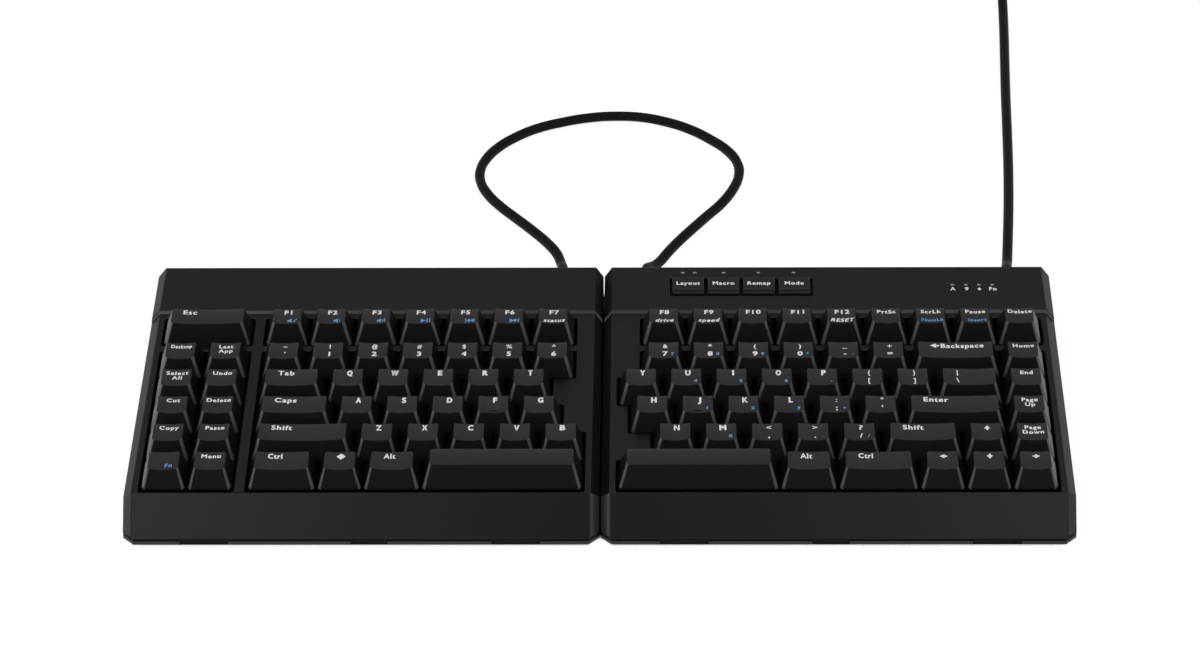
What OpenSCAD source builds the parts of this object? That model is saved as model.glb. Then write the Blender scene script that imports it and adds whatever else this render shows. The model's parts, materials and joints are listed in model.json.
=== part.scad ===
// Split keyboard: two flat halves that turn on a pivot tether, with a link cable and a USB cable.
// Millimetres, +Z up. The origin is on the desk, under the middle of the two closed halves.

/* [Keys] */
// Distance between the centres of neighbouring keys
pitch = 19.05; // [18.6:0.05:19.5]
// Gap between the skirts of neighbouring keycaps
cap_gap = 1.2; // [1:0.05:1.4]
// Cut across the slanted front corners of a keycap
cap_corner = 1.1; // [0.9:0.1:1.4]
// How far the left and right sides of a keycap lean in from skirt to top
cap_lean = 2.8; // [2.6:0.1:3.2]
// Height of a keycap from skirt to top edge
cap_height = 8.7; // [8.3:0.1:9.3]
// Depth of the finger dish in a keycap
dish_depth = 0.65; // [0.4:0.05:1]
// Wall thickness of a keycap
cap_wall = 1.3; // [1:0.1:1.5]
// Distance between the last letter row and the function row, in key pitches
function_row_step = 1.25; // [1.2:0.05:1.4]

/* [Case] */
// Edge of each half to the key field, on the outer side
outer_margin = 6.8; // [6.5:0.1:10]
// Middle of the keyboard to the key field
inner_margin = 7; // [6.5:0.5:9]
// Half of the slit between the closed halves
half_gap = 0.25; // [0.2:0.05:0.4]
// Length of the sloping palm edge, seen from above
palm_run = 13; // [12:0.05:18]
// Level deck in front of the bottom key row's centres
front_margin = 11.8; // [11.5:0.05:13]
// Level deck behind the function row's centres
back_margin = 13.25; // [11:0.05:16]
// Depth of the raised forehead behind the keys
forehead_depth = 34.9; // [33:0.05:37]
// Rise from the deck to the forehead
forehead_rise = 1.2; // [0.9:0.1:1.6]
// Width of the bevel along the sides
bevel_width = 3.5; // [2.5:0.1:3.8]
// Drop of the bevel along the sides
bevel_drop = 3; // [2:0.1:3.2]
// Cut across the corners of each half
corner_cut = 4.5; // [3.5:0.5:5]
// Clearance between a key's cell and the edge of its well
well_margin = 0.6; // [0.4:0.05:0.8]
// Radius of the corners of the key wells
well_corner = 1.2; // [0.8:0.1:1.5]

/* [Heights] */
// Gap under the case that the rubber feet give
foot_gap = 1.7; // [1.6:0.1:2.5]
// Thickness of the case floor
floor_thick = 1.8; // [1.7:0.1:2.2]
// Air between the floor and the circuit board
board_air = 2.2; // [2:0.1:3]
// Top of the deck above the top of the switch plate
deck_over_plate = 6.5; // [6.4:0.1:7]

/* [Movement] */
// Travel of a key
key_travel = 4; // [3:0.1:4]
// Radius of the tether's round post, on which the left half turns
pivot_radius = 3; // [2.5:0.1:3.5]

/* [Cables] */
// Thickness of both cables
cable_d = 4.6; // [4.3:0.1:4.8]
// Middle of the keyboard to each end of the link cable
link_x = 18.5; // [17.5:0.5:20]
// Outer edge of the right half to the USB cable
usb_inset = 16.8; // [16:0.1:19]

/* [Hidden] */
$fn = 48;

// The circuit board, the plate and the switches, from the desk up
floor_top = foot_gap + floor_thick;
board_z = floor_top + board_air;
board_thick = 1.6;
board_top = board_z + board_thick;
plate_thick = 1.5;
plate_top = board_top + 5;
housing_top = plate_top + 6.2;
deck_z = plate_top + deck_over_plate;
forehead_z = deck_z + forehead_rise;
lip_z = floor_top + 1.2;
seam_z = floor_top + 0.6;
side_wall = 2.5;
top_wall = 2.2;

// The case seen from above: the left half is a little wider, because its hot keys stand apart
field_units = 9.5;
left_units = 7.25;
hot_left = -2.3;
case_outer = inner_margin + field_units * pitch + outer_margin;
left_outer = inner_margin + (left_units - hot_left) * pitch + outer_margin;
case_depth = palm_run + front_margin + (4 + function_row_step) * pitch + back_margin + forehead_depth;
front_y = -case_depth / 2;
back_y = case_depth / 2;
deck_front_y = front_y + palm_run;
step_y = back_y - forehead_depth;
palm_angle = atan2(deck_z - lip_z, palm_run);
step_run = 1.15;
back_bevel = [2, 1.4];
palm_bevel_extra = 0.2;

// Rows run from 0, the function row, to 5, the space bar row
function row_y(row) =
    deck_front_y + front_margin + (row == 0 ? 4 + function_row_step : 5 - row) * pitch;
left_origin = -(inner_margin + left_units * pitch);
right_origin = inner_margin + 0.5 * pitch;

// Keycap levels, row by row
skirt_z = deck_z - 0.7;
row_rise = [0.7, 0, 0, 0, 0, -0.3];
row_tilt = [-1.5, -1.5, 0, 0, 0, 3];
cap_roof = 1.4;

// The front and the back of a keycap lean in more than its sides, the front most in the rows near the typist
front_extra = [0.9, 0.85, 1, 1, 1.15, 1.65];
back_extra = 0.55;
hollow_extra = 0.9;
back_corner = 0.15;

// The space bars have a higher, rounded top with its crest behind the middle
bar_extra = 2.2;
bar_radius = 20;
bar_crest = 1.5;
bar_front_extra = 1.2;
bar_back_extra = 0.4;
function cap_leans(row, bar) = [cap_lean, cap_lean + (bar ? bar_front_extra : front_extra[row]),
    cap_lean + (bar ? bar_back_extra : back_extra)];

// Switch: a housing with a pocket, in which the plunger slides
shoulder_z = housing_top + 0.3;
plunger_bottom = housing_top - 5.3;
plunger_size = [7, 5.4];
pocket_clear = 0.3;
housing_lower = 13.8;
housing_flange = 15.6;
flange_thick = 1;
housing_foot = 6.9;
housing_neck = 4.7;
cross_height = 3.6;
cross_size = [4, 1.15];
cross_clear = 0.05;
post_gap = 0.05;
post_r = 2.75;
stem_size = [3.2, 5.4];
stem_housing = [6.6, 10];

// Each key is [row, left edge in key units from its half's origin, width in key units]
function row_of(row, first, count) = [for (i = [0 : count - 1]) [row, first + i, 1]];
ESCAPE = [[0, hot_left, 2]];
TAB = [[2, 0, 1.5]];
CAPS = [[3, 0, 1.75]];
LEFT_SHIFT = [[4, 0, 2.25]];
LEFT_CONTROL = [[5, 0, 1.5]];
SYSTEM = [[5, 1.5, 1]];
LEFT_ALT = [[5, 2.5, 1.25]];
LEFT_SPACE = [[5, 3.75, 3.5]];
LEFT_FUNCTION = row_of(0, 0, 7);
LEFT_NUMBER = row_of(1, 0, 7);
LEFT_UPPER = row_of(2, 1.5, 5);
LEFT_HOME = row_of(3, 1.75, 5);
LEFT_LOWER = row_of(4, 2.25, 5);
OUTER_HOT = [for (row = [1 : 5]) [row, hot_left, 1]];
INNER_HOT = [for (row = [1 : 5]) [row, hot_left + 1, 1]];
LEFT_KEYS = concat(ESCAPE, TAB, CAPS, LEFT_SHIFT, LEFT_CONTROL, SYSTEM, LEFT_ALT, LEFT_SPACE,
    LEFT_FUNCTION, LEFT_NUMBER, LEFT_UPPER, LEFT_HOME, LEFT_LOWER, OUTER_HOT, INNER_HOT);
BACKSPACE = [[1, 6, 2]];
BACKSLASH = [[2, 6.5, 1.5]];
ENTER = [[3, 5.75, 2.25]];
RIGHT_SHIFT = [[4, 5.25, 1.75]];
RIGHT_ALT = [[5, 3, 1.25]];
RIGHT_CONTROL = [[5, 4.25, 1.75]];
RIGHT_SPACE = [[5, -0.5, 3.5]];
ARROWS = concat(row_of(4, 7, 1), row_of(5, 6, 3));
NAVIGATION = [for (row = [1 : 4]) [row, 8, 1]];
RIGHT_FUNCTION = row_of(0, 0, 9);
RIGHT_NUMBER = row_of(1, 0, 6);
RIGHT_UPPER = row_of(2, -0.5, 7);
RIGHT_HOME = row_of(3, -0.25, 6);
RIGHT_LOWER = row_of(4, 0.25, 5);
RIGHT_KEYS = concat(BACKSPACE, BACKSLASH, ENTER, RIGHT_SHIFT, RIGHT_ALT, RIGHT_CONTROL, RIGHT_SPACE,
    ARROWS, NAVIGATION, RIGHT_FUNCTION, RIGHT_NUMBER, RIGHT_UPPER, RIGHT_HOME, RIGHT_LOWER);
function key_x(origin, key) = origin + (key[1] + key[2] / 2) * pitch;

// Each stretch of a well is [back row, front row, left edge, right edge], the edges in key units
LEFT_WELLS = [[0, 0, hot_left, hot_left + 2], [0, 0, 0, 7], [1, 5, hot_left, hot_left + 2], [1, 5, 0, 4],
    [1, 1, 0, 7], [2, 2, 0, 6.5], [3, 3, 0, 6.75], [4, 5, 0, 7.25]];
RIGHT_WELLS = [[0, 0, 0, 9], [1, 5, 4, 9], [1, 1, 0, 9], [2, 2, -0.5, 9], [3, 3, -0.25, 9],
    [4, 4, 0.25, 9], [5, 5, -0.5, 9]];
// Wells that reach the front row go further towards the palm edge by this much
front_row_extra = 1.3;

// Wide keys have a stabiliser stem on each side of the switch
function stem_offset(units) = units >= 3 ? (units - 1) / 2 * pitch : units >= 2 ? 11.94 : 0;
function stems(keys, origin) = [for (key = keys) for (side = [-1, 1]) if (key[2] >= 2)
    [key_x(origin, key) + side * stem_offset(key[2]), row_y(key[0])]];

// Screws, bosses and feet, given for the right half and mirrored for the left
boss_r = 3.25;
screw_r = 1.3;
screw_top = floor_top + 7.5;
head_r = 2.6;
head_drop = 1;
SCREWS = [[inner_margin + 5, step_y + 7], [case_outer * 0.54, back_y - 13.5], [case_outer - 10.5, step_y + 9],
    [inner_margin + 5, deck_front_y - 4.5], [case_outer * 0.51, deck_front_y - 4.5],
    [case_outer - 10.5, deck_front_y - 4.5]];
foot_r = 6;
foot_recess = 0.5;
FEET = [[inner_margin + 15, back_y - 24], [case_outer - 15.5, back_y - 11.5],
    [inner_margin + 15, front_y + 11.5], [case_outer - 21.5, front_y + 11.5]];
BOARD_POSTS = [for (u = [0.3, 4.6, 9.1]) for (y = [deck_front_y + 4, 0, step_y - 5])
    [inner_margin + u * pitch, y]];
board_post_r = 2.5;

// Slots in the front edge of the floor, in which a palm support clips: [middle, width]
CLIP_SLOTS = [[case_outer * 0.177, 20], [case_outer * 0.485, 15], [case_outer * 0.833, 20]];
clip_depth = 1.2;
clip_sill = 0.4;

// Pivot tether: a strap under the back corners, with one round post for the left half
tether_z = 0.3;
tether_thick = 1.2;
tether_half_width = 5;
tether_y = back_y - 5.5;
pivot_x = -9;
pivot_clear = 0.1;
fixed_post_r = 2.5;
FIXED_POSTS = [15, 29];

// Cable glands
gland_z = foot_gap + 6.3;
gland_neck_r = 3;
gland_flange_r = 3.6;
gland_boot = 9.5;
gland_end_y = back_y + gland_boot;
usb_x = case_outer - usb_inset;

// Layer buttons and light windows on the right forehead
button_size = [13.7, 10.5];
button_pitch = 15.4;
button_first_x = 36.8;
button_y = back_y - 15.85;
button_travel = 1;
button_flange = [14.9, 12.3];
recess_depth = 1.5;
RECESS = [62.2, 13.5];
recess_shift = -0.9;
light_size = [1.6, 0.8];
light_clear = 0.05;
LAYER_LIGHTS = [for (x = [34.5, 39.7, 52.4, 67.5, 82.9]) [x, back_y - 6]];
STATE_LIGHTS = [for (inset = [42.9, 37.1, 31.4, 25.7]) [case_outer - inset, back_y - 15.35]];
LIGHTS = concat(LAYER_LIGHTS, STATE_LIGHTS);

// Routes of the cables: round points, from one end to the other, y counted from the back of the case
cable_z = cable_d / 2 + 0.05;
cable_start = [gland_boot, gland_boot + 1.2, gland_boot + 2.4];
LINK_ROUTE = [for (y = cable_start) [-link_x, y, gland_z], [-link_x - 0.1, 15.4, 7.2], [-18.8, 19, 5.2],
    [-19.1, 22.6, 3.3], [-19.9, 27, cable_z], [-21.8, 33.8, cable_z], [-26.8, 43, cable_z],
    [-33.9, 53, cable_z], [-41.1, 62.2, cable_z], [-48.6, 71.9, cable_z], [-54.4, 81.5, cable_z],
    [-57.9, 91.5, cable_z],
    [-58.3, 101, cable_z], [-56, 110, cable_z], [-50.5, 120, cable_z], [-42.5, 128.7, cable_z],
    [-33, 135.8, cable_z], [-21.5, 141, cable_z], [-8.5, 144.9, cable_z], [4, 146.2, cable_z],
    [16, 145.1, cable_z], [27.5, 141.1, cable_z], [38, 135, cable_z], [48.4, 125.6, cable_z],
    [55.8, 116.5, cable_z], [60.2, 106, cable_z], [60.6, 96, cable_z], [57.8, 85, cable_z],
    [52.3, 73.2, cable_z], [45.7, 63.3, cable_z], [39.2, 53.4, cable_z], [33, 43.6, cable_z],
    [28, 34.7, cable_z], [24.3, 27.4, cable_z], [21.4, 22.6, 3.3], [19.5, 19, 5.2], [link_x + 0.1, 15.4, 7.2],
    for (i = [2, 1, 0]) [link_x, cable_start[i], gland_z]];
USB_ROUTE = [for (y = cable_start) [0, y, gland_z], [0.1, 15.4, 7.2], [0.4, 19, 5.2], [0.7, 22.6, 3.3],
    [1.2, 27, cable_z], [2.6, 43.5, cable_z], [4.2, 63.5, cable_z], [5.7, 85.5, cable_z], [7, 108.5, cable_z],
    [8.2, 134.5, cable_z], [9.5, 164.5, cable_z], [11, 194.5, cable_z], [12.5, 224.5, cable_z],
    [13.6, 254.5, 2.45], [14, 276, 2.95], [14, 288, 3.35], [14, 294, 3.35], [14, 300, 3.35]];
cable_sides = 8;
steps_per_point = 2;

// The rest of the USB cable lies in a coil of two layers: in along the lower one, out along the upper
route_end = USB_ROUTE[len(USB_ROUTE) - 1];
coil_start = route_end + [0, cable_d, 0];
coil_outer_r = 38.3;
coil_pitch = cable_d + 1;
coil_layer_turns = 4.25;
coil_climb_turns = 0.5;
coil_rings = 24;
coil_sides = 6;
coil_turns = 2 * coil_layer_turns + coil_climb_turns;
coil_inner_r = coil_outer_r - coil_layer_turns * coil_pitch;
coil_centre = [usb_x + coil_start[0] - coil_outer_r, back_y + coil_start[1]];
TAIL = [[14, 308, 8.9], [14, 314, 8.4], [14, 322, 6.2], [14, 330, 4.5], [14, 336, 4], [14, 338, 4],
    [14, 340, 4]];
plug_y = back_y + 340;
plug_z = 4;
plug_x = usb_x + 14;
plug_grip = [16, 22, 8];
plug_shell = [12, 12, 4.5];
plug_wall = 0.35;
plug_tongue = [11, 9, 1.8];
tie_width = 4;
tie_thick = 0.8;
tie_clear = 0.4;

// Swept tubes
function ahead(route, i) = route[min(i, len(route) - 1)];
function catmull(a, b, c, d, t) =
    b + (c - a) * t / 2 + (2 * a - 5 * b + 4 * c - d) * pow(t, 2) / 2 + (3 * b - a - 3 * c + d) * pow(t, 3) / 2;
function smooth(route, steps) = [
    for (i = [0 : len(route) - 2]) for (s = [0 : steps - 1])
        catmull(route[max(i - 1, 0)], route[i], route[i + 1], ahead(route, i + 2), s / steps),
    route[len(route) - 1]];
function unit(v) = v / norm(v);
function along(path, i) = unit(i == 0 ? path[1] - path[0]
    : i == len(path) - 1 ? path[i] - path[i - 1] : path[i + 1] - path[i - 1]);
function ring(path, i, r, sides) =
    let (t = along(path, i), side = unit(cross(t, [0, 0, 1])), up = cross(side, t))
    [for (k = [0 : sides - 1]) path[i] + r * (cos(360 * k / sides) * side + sin(360 * k / sides) * up)];
module tube(path, d, sides) {
    last = len(path) - 1;
    points = [for (i = [0 : last]) each ring(path, i, d / 2, sides)];
    walls = [for (i = [0 : last - 1]) for (k = [0 : sides - 1])
        let (a = i * sides + k, b = i * sides + (k + 1) % sides)
        each [[a, b, b + sides], [a, b + sides, a + sides]]];
    start_cap = [for (k = [sides - 1 : -1 : 0]) k];
    end_cap = [for (k = [0 : sides - 1]) last * sides + k];
    polyhedron(points, concat([start_cap], walls, [end_cap]), convexity = 10);
}

// The coil's middle line at a number of turns from its start
function coil_point(turn) =
    let (climb = min(max((turn - coil_layer_turns) / coil_climb_turns, 0), 1),
        radius = turn < coil_layer_turns ? coil_outer_r - coil_pitch * turn
            : turn < coil_layer_turns + coil_climb_turns ? coil_inner_r
            : coil_inner_r + coil_pitch * (turn - coil_layer_turns - coil_climb_turns))
    [coil_centre[0] + radius * cos(360 * turn), coil_centre[1] + radius * sin(360 * turn),
        coil_start[2] + coil_pitch * climb];
coil_loops = [for (i = [0 : coil_turns * coil_rings]) coil_point(i / coil_rings)];
coil_lead = [usb_x + route_end[0], back_y + route_end[1], route_end[2]];
coil_path = concat([coil_lead], coil_loops, smooth([for (p = TAIL) [usb_x + p[0], back_y + p[1], p[2]]], 2));
coil_gap = min([for (i = [0 : len(coil_loops) - 1 - coil_rings / 2])
    for (j = [i + coil_rings / 2 : len(coil_loops) - 1]) norm(coil_loops[i] - coil_loops[j])]) - cable_d;
echo(least_gap_between_turns_of_the_coil = coil_gap);

// Case forms: a bar along Y with bevelled top edges, and its outline from above
module rail(x0, x1, top, length, width = bevel_width) {
    reach = 5;
    drop = (width + reach) * bevel_drop / bevel_width;
    rotate([90, 0, 0]) linear_extrude(length, center = true)
        polygon([[x0 - reach, -300], [x1 + reach, -300], [x1 + reach, top - drop], [x1 - width, top],
            [x0 + width, top], [x0 - reach, top - drop]]);
}

module plan(x0, x1, inset) {
    a = x0 + inset;
    b = x1 - inset;
    c = front_y + inset;
    d = back_y - inset;
    cut = corner_cut;
    polygon([[a + cut, c], [b - cut, c], [b, c + cut], [b, d - cut], [b - cut, d], [a + cut, d],
        [a, d - cut], [a, c + cut]]);
}

module along_x(points) {
    rotate([90, 0, 90]) linear_extrude(1000, center = true) polygon(points);
}

// Outer form of one half, from the desk side up
module outer_form(x0, x1) {
    step_slope = step_run / forehead_rise;
    intersection() {
        union() {
            rail(x0, x1, deck_z, 2 * case_depth);
            intersection() {
                rail(x0, x1, forehead_z, 2 * case_depth);
                along_x([[step_y - 10 * step_slope, deck_z - 10], [step_y + 3 * step_slope, deck_z + 3],
                    [back_y + 10, deck_z + 3], [back_y + 10, deck_z - 10]]);
            }
        }
        translate([0, deck_front_y, deck_z]) rotate([palm_angle, 0, 0])
            rail(x0, x1, 0, 4 * case_depth, bevel_width + palm_bevel_extra);
        along_x([[2 * front_y, -20], [2 * front_y, forehead_z + 5], [back_y - back_bevel[0] - 5 * back_bevel[0]
            / back_bevel[1], forehead_z + 5], [back_y + 10, forehead_z - (10 + back_bevel[0]) * back_bevel[1]
            / back_bevel[0]], [back_y + 10, -20]]);
        linear_extrude(60) plan(x0, x1, 0);
    }
}

// Space inside one half at a given distance from its outer faces
module inner_space(x0, x1, side, top) {
    far = 400;
    intersection() {
        union() {
            translate([-far, -far, -1]) cube([2 * far, 2 * far, deck_z - top + 1]);
            translate([-far, step_y + top, -1]) cube([2 * far, far, forehead_z - top + 1]);
        }
        translate([0, deck_front_y, deck_z]) rotate([palm_angle, 0, 0])
            translate([-far, -far, -far - top]) cube([2 * far, 2 * far, far]);
        translate([0, 0, -1]) linear_extrude(60) plan(x0, x1, side);
    }
}

module wells(list, origin) {
    translate([0, 0, deck_z - 8]) linear_extrude(16) for (w = list)
        round_cornered(origin + w[2] * pitch - well_margin,
            row_y(w[1]) - pitch / 2 - well_margin - (w[1] == 5 ? front_row_extra : 0),
            origin + w[3] * pitch + well_margin, row_y(w[0]) + pitch / 2 + well_margin);
}

module round_cornered(x0, y0, x1, y1) {
    r = well_corner;
    translate([x0 + r, y0]) square([x1 - x0 - 2 * r, y1 - y0]);
    translate([x0, y0 + r]) square([x1 - x0, y1 - y0 - 2 * r]);
    for (x = [x0 + r, x1 - r]) for (y = [y0 + r, y1 - r]) translate([x, y]) circle(r = r);
}

module gland_hole(x) {
    translate([x, back_y + 1, gland_z]) rotate([90, 0, 0]) cylinder(r = gland_neck_r + 0.1, h = side_wall + 2);
}

module top_shell(x0, x1, side) {
    difference() {
        union() {
            difference() {
                outer_form(x0, x1);
                inner_space(x0, x1, side_wall, top_wall);
                translate([-500, -500, -1]) cube([1000, 1000, seam_z + 1]);
            }
            intersection() {
                inner_space(x0, x1, side_wall - 1, top_wall - 1);
                for (p = SCREWS) translate([side * p[0], p[1], floor_top]) cylinder(r = boss_r, h = 40);
            }
        }
        for (p = SCREWS) translate([side * p[0], p[1], floor_top - 1])
            cylinder(r = screw_r + 0.05, h = screw_top - floor_top + 1.5);
        gland_hole(side * link_x);
    }
}

module left_top_case() {
    color([0.14, 0.14, 0.15]) difference() {
        top_shell(-left_outer, -half_gap, -1);
        wells(LEFT_WELLS, left_origin);
    }
}

module right_top_case() {
    color([0.14, 0.14, 0.15]) difference() {
        top_shell(half_gap, case_outer, 1);
        wells(RIGHT_WELLS, right_origin);
        gland_hole(usb_x);
        translate([button_first_x + 1.5 * button_pitch, button_y + recess_shift, forehead_z - recess_depth])
            linear_extrude(5) square(RECESS, center = true);
        for (i = [0 : 3]) translate([button_first_x + i * button_pitch, button_y, forehead_z - 5])
            linear_extrude(10) square(button_size + [0.6, 0.6], center = true);
        for (p = LIGHTS) translate([p[0], p[1], forehead_z - 5]) linear_extrude(10)
            square(light_size + [2 * light_clear, 2 * light_clear], center = true);
    }
}

module bottom_shell(x0, x1, side) {
    rim = 1.5;
    rim_height = 1.7;
    clear = 0.2;
    difference() {
        union() {
            translate([0, 0, foot_gap]) linear_extrude(floor_thick) plan(x0, x1, 0);
            intersection() {
                inner_space(x0, x1, side_wall + clear, top_wall + clear);
                translate([0, 0, floor_top - 0.5]) linear_extrude(rim_height + 0.5) difference() {
                    plan(x0, x1, side_wall - 1);
                    plan(x0, x1, side_wall + clear + rim);
                }
            }
            for (p = BOARD_POSTS) translate([side * p[0], p[1], floor_top - 0.5])
                cylinder(r = board_post_r, h = board_air + 0.5);
        }
        for (p = FEET) translate([side * p[0], p[1], foot_gap - 1])
            cylinder(r = foot_r + 0.1, h = foot_recess + 1);
        for (p = SCREWS) translate([side * p[0], p[1], foot_gap - 1]) {
            cylinder(r = head_r + 0.2, h = head_drop + 1);
            cylinder(r = screw_r + 0.15, h = 10);
            translate([0, 0, floor_thick + 1]) cylinder(r = boss_r + 0.2, h = 10);
        }
        for (slot = CLIP_SLOTS) translate([side * slot[0] - slot[1] / 2, front_y - 1, foot_gap + clip_sill])
            cube([slot[1], clip_depth + 1, floor_thick]);
        for (x = [side * link_x, side * usb_x])
            translate([x - gland_flange_r - 1, back_y - 10, floor_top]) cube([2 * gland_flange_r + 2, 9, 20]);
    }
}

module left_bottom_case() {
    color([0.2, 0.2, 0.21]) difference() {
        bottom_shell(-left_outer, -half_gap, -1);
        translate([pivot_x, tether_y, 0]) cylinder(r = pivot_radius + pivot_clear, h = 20);
    }
}

module right_bottom_case() {
    color([0.2, 0.2, 0.21]) difference() {
        bottom_shell(half_gap, case_outer, 1);
        for (x = FIXED_POSTS) translate([x, tether_y, 0]) cylinder(r = fixed_post_r + 0.05, h = 20);
    }
}

// Steel plate with a square hole for each switch and slots for the stabilisers
module plate(keys, origin, side) {
    a = half_gap + side_wall + 2;
    b = case_outer - side_wall - 2;
    hole = 14;
    translate([0, 0, plate_top - plate_thick]) linear_extrude(plate_thick) difference() {
        translate([side > 0 ? a : -b, deck_front_y + 1]) square([b - a, step_y - deck_front_y - 2]);
        for (key = keys) translate([key_x(origin, key), row_y(key[0])]) square(hole, center = true);
        for (p = stems(keys, origin)) translate(p) square(stem_housing + [0.2, 0.2], center = true);
    }
}

module left_switch_plate() {
    color([0.55, 0.56, 0.58]) plate(LEFT_KEYS, left_origin, -1);
}

module right_switch_plate() {
    color([0.55, 0.56, 0.58]) plate(RIGHT_KEYS, right_origin, 1);
}

// Circuit board under the switches, with its controller
module board_outline(side) {
    a = half_gap + side_wall + 2.5;
    b = case_outer - side_wall - 2.5;
    translate([side > 0 ? a : -b, deck_front_y + 1]) square([b - a, step_y - deck_front_y - 2]);
}

module controller(side) {
    size = [10, 10, 1.2];
    translate([side * (inner_margin + 2.5 * pitch) - size[0] / 2, -40, board_z - size[2]])
        cube([size[0], size[1], size[2] + 0.2]);
}

module left_circuit_board() {
    color([0.05, 0.3, 0.15]) {
        translate([0, 0, board_z]) linear_extrude(board_thick) board_outline(-1);
        controller(-1);
    }
}

// The right board reaches back under the layer buttons and the state lights
module right_circuit_board() {
    tap = 6;
    tap_top = forehead_z - 5.2;
    color([0.05, 0.3, 0.15]) {
        translate([0, 0, board_z]) linear_extrude(board_thick) {
            board_outline(1);
            translate([button_first_x - 10, step_y - 5]) square([3 * button_pitch + 20, forehead_depth - 2]);
            translate([STATE_LIGHTS[0][0] - 6, step_y - 5]) square([29, 25]);
        }
        controller(1);
        for (i = [0 : 3])
            translate([button_first_x + i * button_pitch - tap / 2, button_y - tap / 2, board_top - 0.2])
                cube([tap, tap, tap_top - board_top + 0.2]);
    }
}

// Switch housing: lower box through the plate, flange on the plate, tapered top with the plunger's pocket
module trapezoid(half_bottom, half_top, z0, z1, length) {
    rotate([90, 0, 0]) linear_extrude(length, center = true)
        polygon([[-half_bottom, z0], [half_bottom, z0], [half_top, z1], [-half_top, z1]]);
}

module housing() {
    lower = housing_lower;
    flange = housing_flange;
    flange_top = plate_top + flange_thick;
    overlap = flange_thick / 3;
    difference() {
        union() {
            translate([-lower / 2, -lower / 2, board_top]) cube([lower, lower, flange_top - board_top]);
            translate([-flange / 2, -flange / 2, plate_top]) cube([flange, flange, flange_top - plate_top]);
            intersection() {
                trapezoid(housing_foot, housing_neck, flange_top - overlap, housing_top, 2 * flange);
                rotate([0, 0, 90])
                    trapezoid(housing_foot, housing_neck, flange_top - overlap, housing_top, 2 * flange);
            }
        }
        translate([0, 0, plunger_bottom - key_travel - pocket_clear]) linear_extrude(2 * housing_top)
            square([plunger_size[0] + 2 * pocket_clear, 2 * post_r + 2 * pocket_clear], center = true);
    }
}

module switches(keys, origin) {
    for (key = keys) translate([key_x(origin, key), row_y(key[0]), 0]) housing();
}

module left_switches() {
    color([0.1, 0.1, 0.1]) switches(LEFT_KEYS, left_origin);
}

module right_switches() {
    color([0.1, 0.1, 0.1]) switches(RIGHT_KEYS, right_origin);
}

// Stabiliser housings stand on the board and guide the stems of wide keys
module stabilisers(keys, origin) {
    for (p = stems(keys, origin)) translate([p[0], p[1], 0]) difference() {
        translate([0, 0, board_top]) linear_extrude(housing_top - 0.5 - board_top)
            square(stem_housing, center = true);
        translate([0, 0, plunger_bottom - key_travel - pocket_clear]) linear_extrude(2 * housing_top)
            square(stem_size + [2 * pocket_clear, 2 * pocket_clear], center = true);
    }
}

module left_stabilisers() {
    color([0.12, 0.12, 0.12]) stabilisers(LEFT_KEYS, left_origin);
}

module right_stabilisers() {
    color([0.12, 0.12, 0.12]) stabilisers(RIGHT_KEYS, right_origin);
}

module feet(side) {
    for (p = FEET) translate([side * p[0], p[1], 0]) cylinder(r = foot_r, h = foot_gap + foot_recess);
}

module left_feet() {
    color([0.08, 0.08, 0.08]) feet(-1);
}

module right_feet() {
    color([0.08, 0.08, 0.08]) feet(1);
}

// Screws hold the floor to the bosses of the top case
module screws(side) {
    slot = 1.2;
    for (p = SCREWS) translate([side * p[0], p[1], foot_gap]) difference() {
        union() {
            translate([0, 0, 0.1]) cylinder(r = head_r, h = head_drop - 0.1);
            cylinder(r = screw_r, h = screw_top - foot_gap);
        }
        translate([-slot / 2, -slot / 2, -1]) cube([slot, slot, 1.7]);
    }
}

module left_screws() {
    color([0.4, 0.4, 0.42]) screws(-1);
}

module right_screws() {
    color([0.4, 0.4, 0.42]) screws(1);
}

module pivot_tether() {
    right_end = FIXED_POSTS[1];
    color([0.1, 0.1, 0.1]) {
        translate([0, tether_y, tether_z]) linear_extrude(tether_thick) {
            translate([pivot_x, -tether_half_width]) square([right_end - pivot_x, 2 * tether_half_width]);
            for (x = [pivot_x, right_end]) translate([x, 0]) circle(r = tether_half_width);
        }
        translate([pivot_x, tether_y, tether_z]) cylinder(r = pivot_radius, h = floor_top - tether_z);
        for (x = FIXED_POSTS) translate([x, tether_y, tether_z])
            cylinder(r = fixed_post_r, h = floor_top - tether_z);
    }
}

// Strain relief: a flange inside the back wall, a neck through it and a tapering boot outside
module gland(x) {
    boot_r = 3.6;
    end_r = cable_d / 2 + 0.5;
    inside = 2;
    color([0.07, 0.07, 0.07]) translate([x, back_y, gland_z]) rotate([-90, 0, 0]) rotate_extrude()
        polygon([[0, -side_wall - inside], [gland_flange_r, -side_wall - inside], [gland_flange_r, -side_wall],
            [gland_neck_r, -side_wall], [gland_neck_r, 0], [boot_r, 0], [boot_r, 2], [end_r, gland_boot],
            [0, gland_boot]]);
}

module left_link_gland() {
    gland(-link_x);
}

module right_link_gland() {
    gland(link_x);
}

module usb_gland() {
    gland(usb_x);
}

module link_cable() {
    path = smooth([for (p = LINK_ROUTE) [p[0], back_y + p[1], p[2]]], steps_per_point);
    color([0.06, 0.06, 0.06]) tube(path, cable_d, cable_sides);
}

module usb_cable() {
    path = smooth([for (p = USB_ROUTE) [usb_x + p[0], back_y + p[1], p[2]]], steps_per_point);
    color([0.06, 0.06, 0.06]) tube(path, cable_d, cable_sides);
}

module usb_coil() {
    color([0.06, 0.06, 0.06]) tube(coil_path, cable_d, coil_sides);
}

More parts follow.
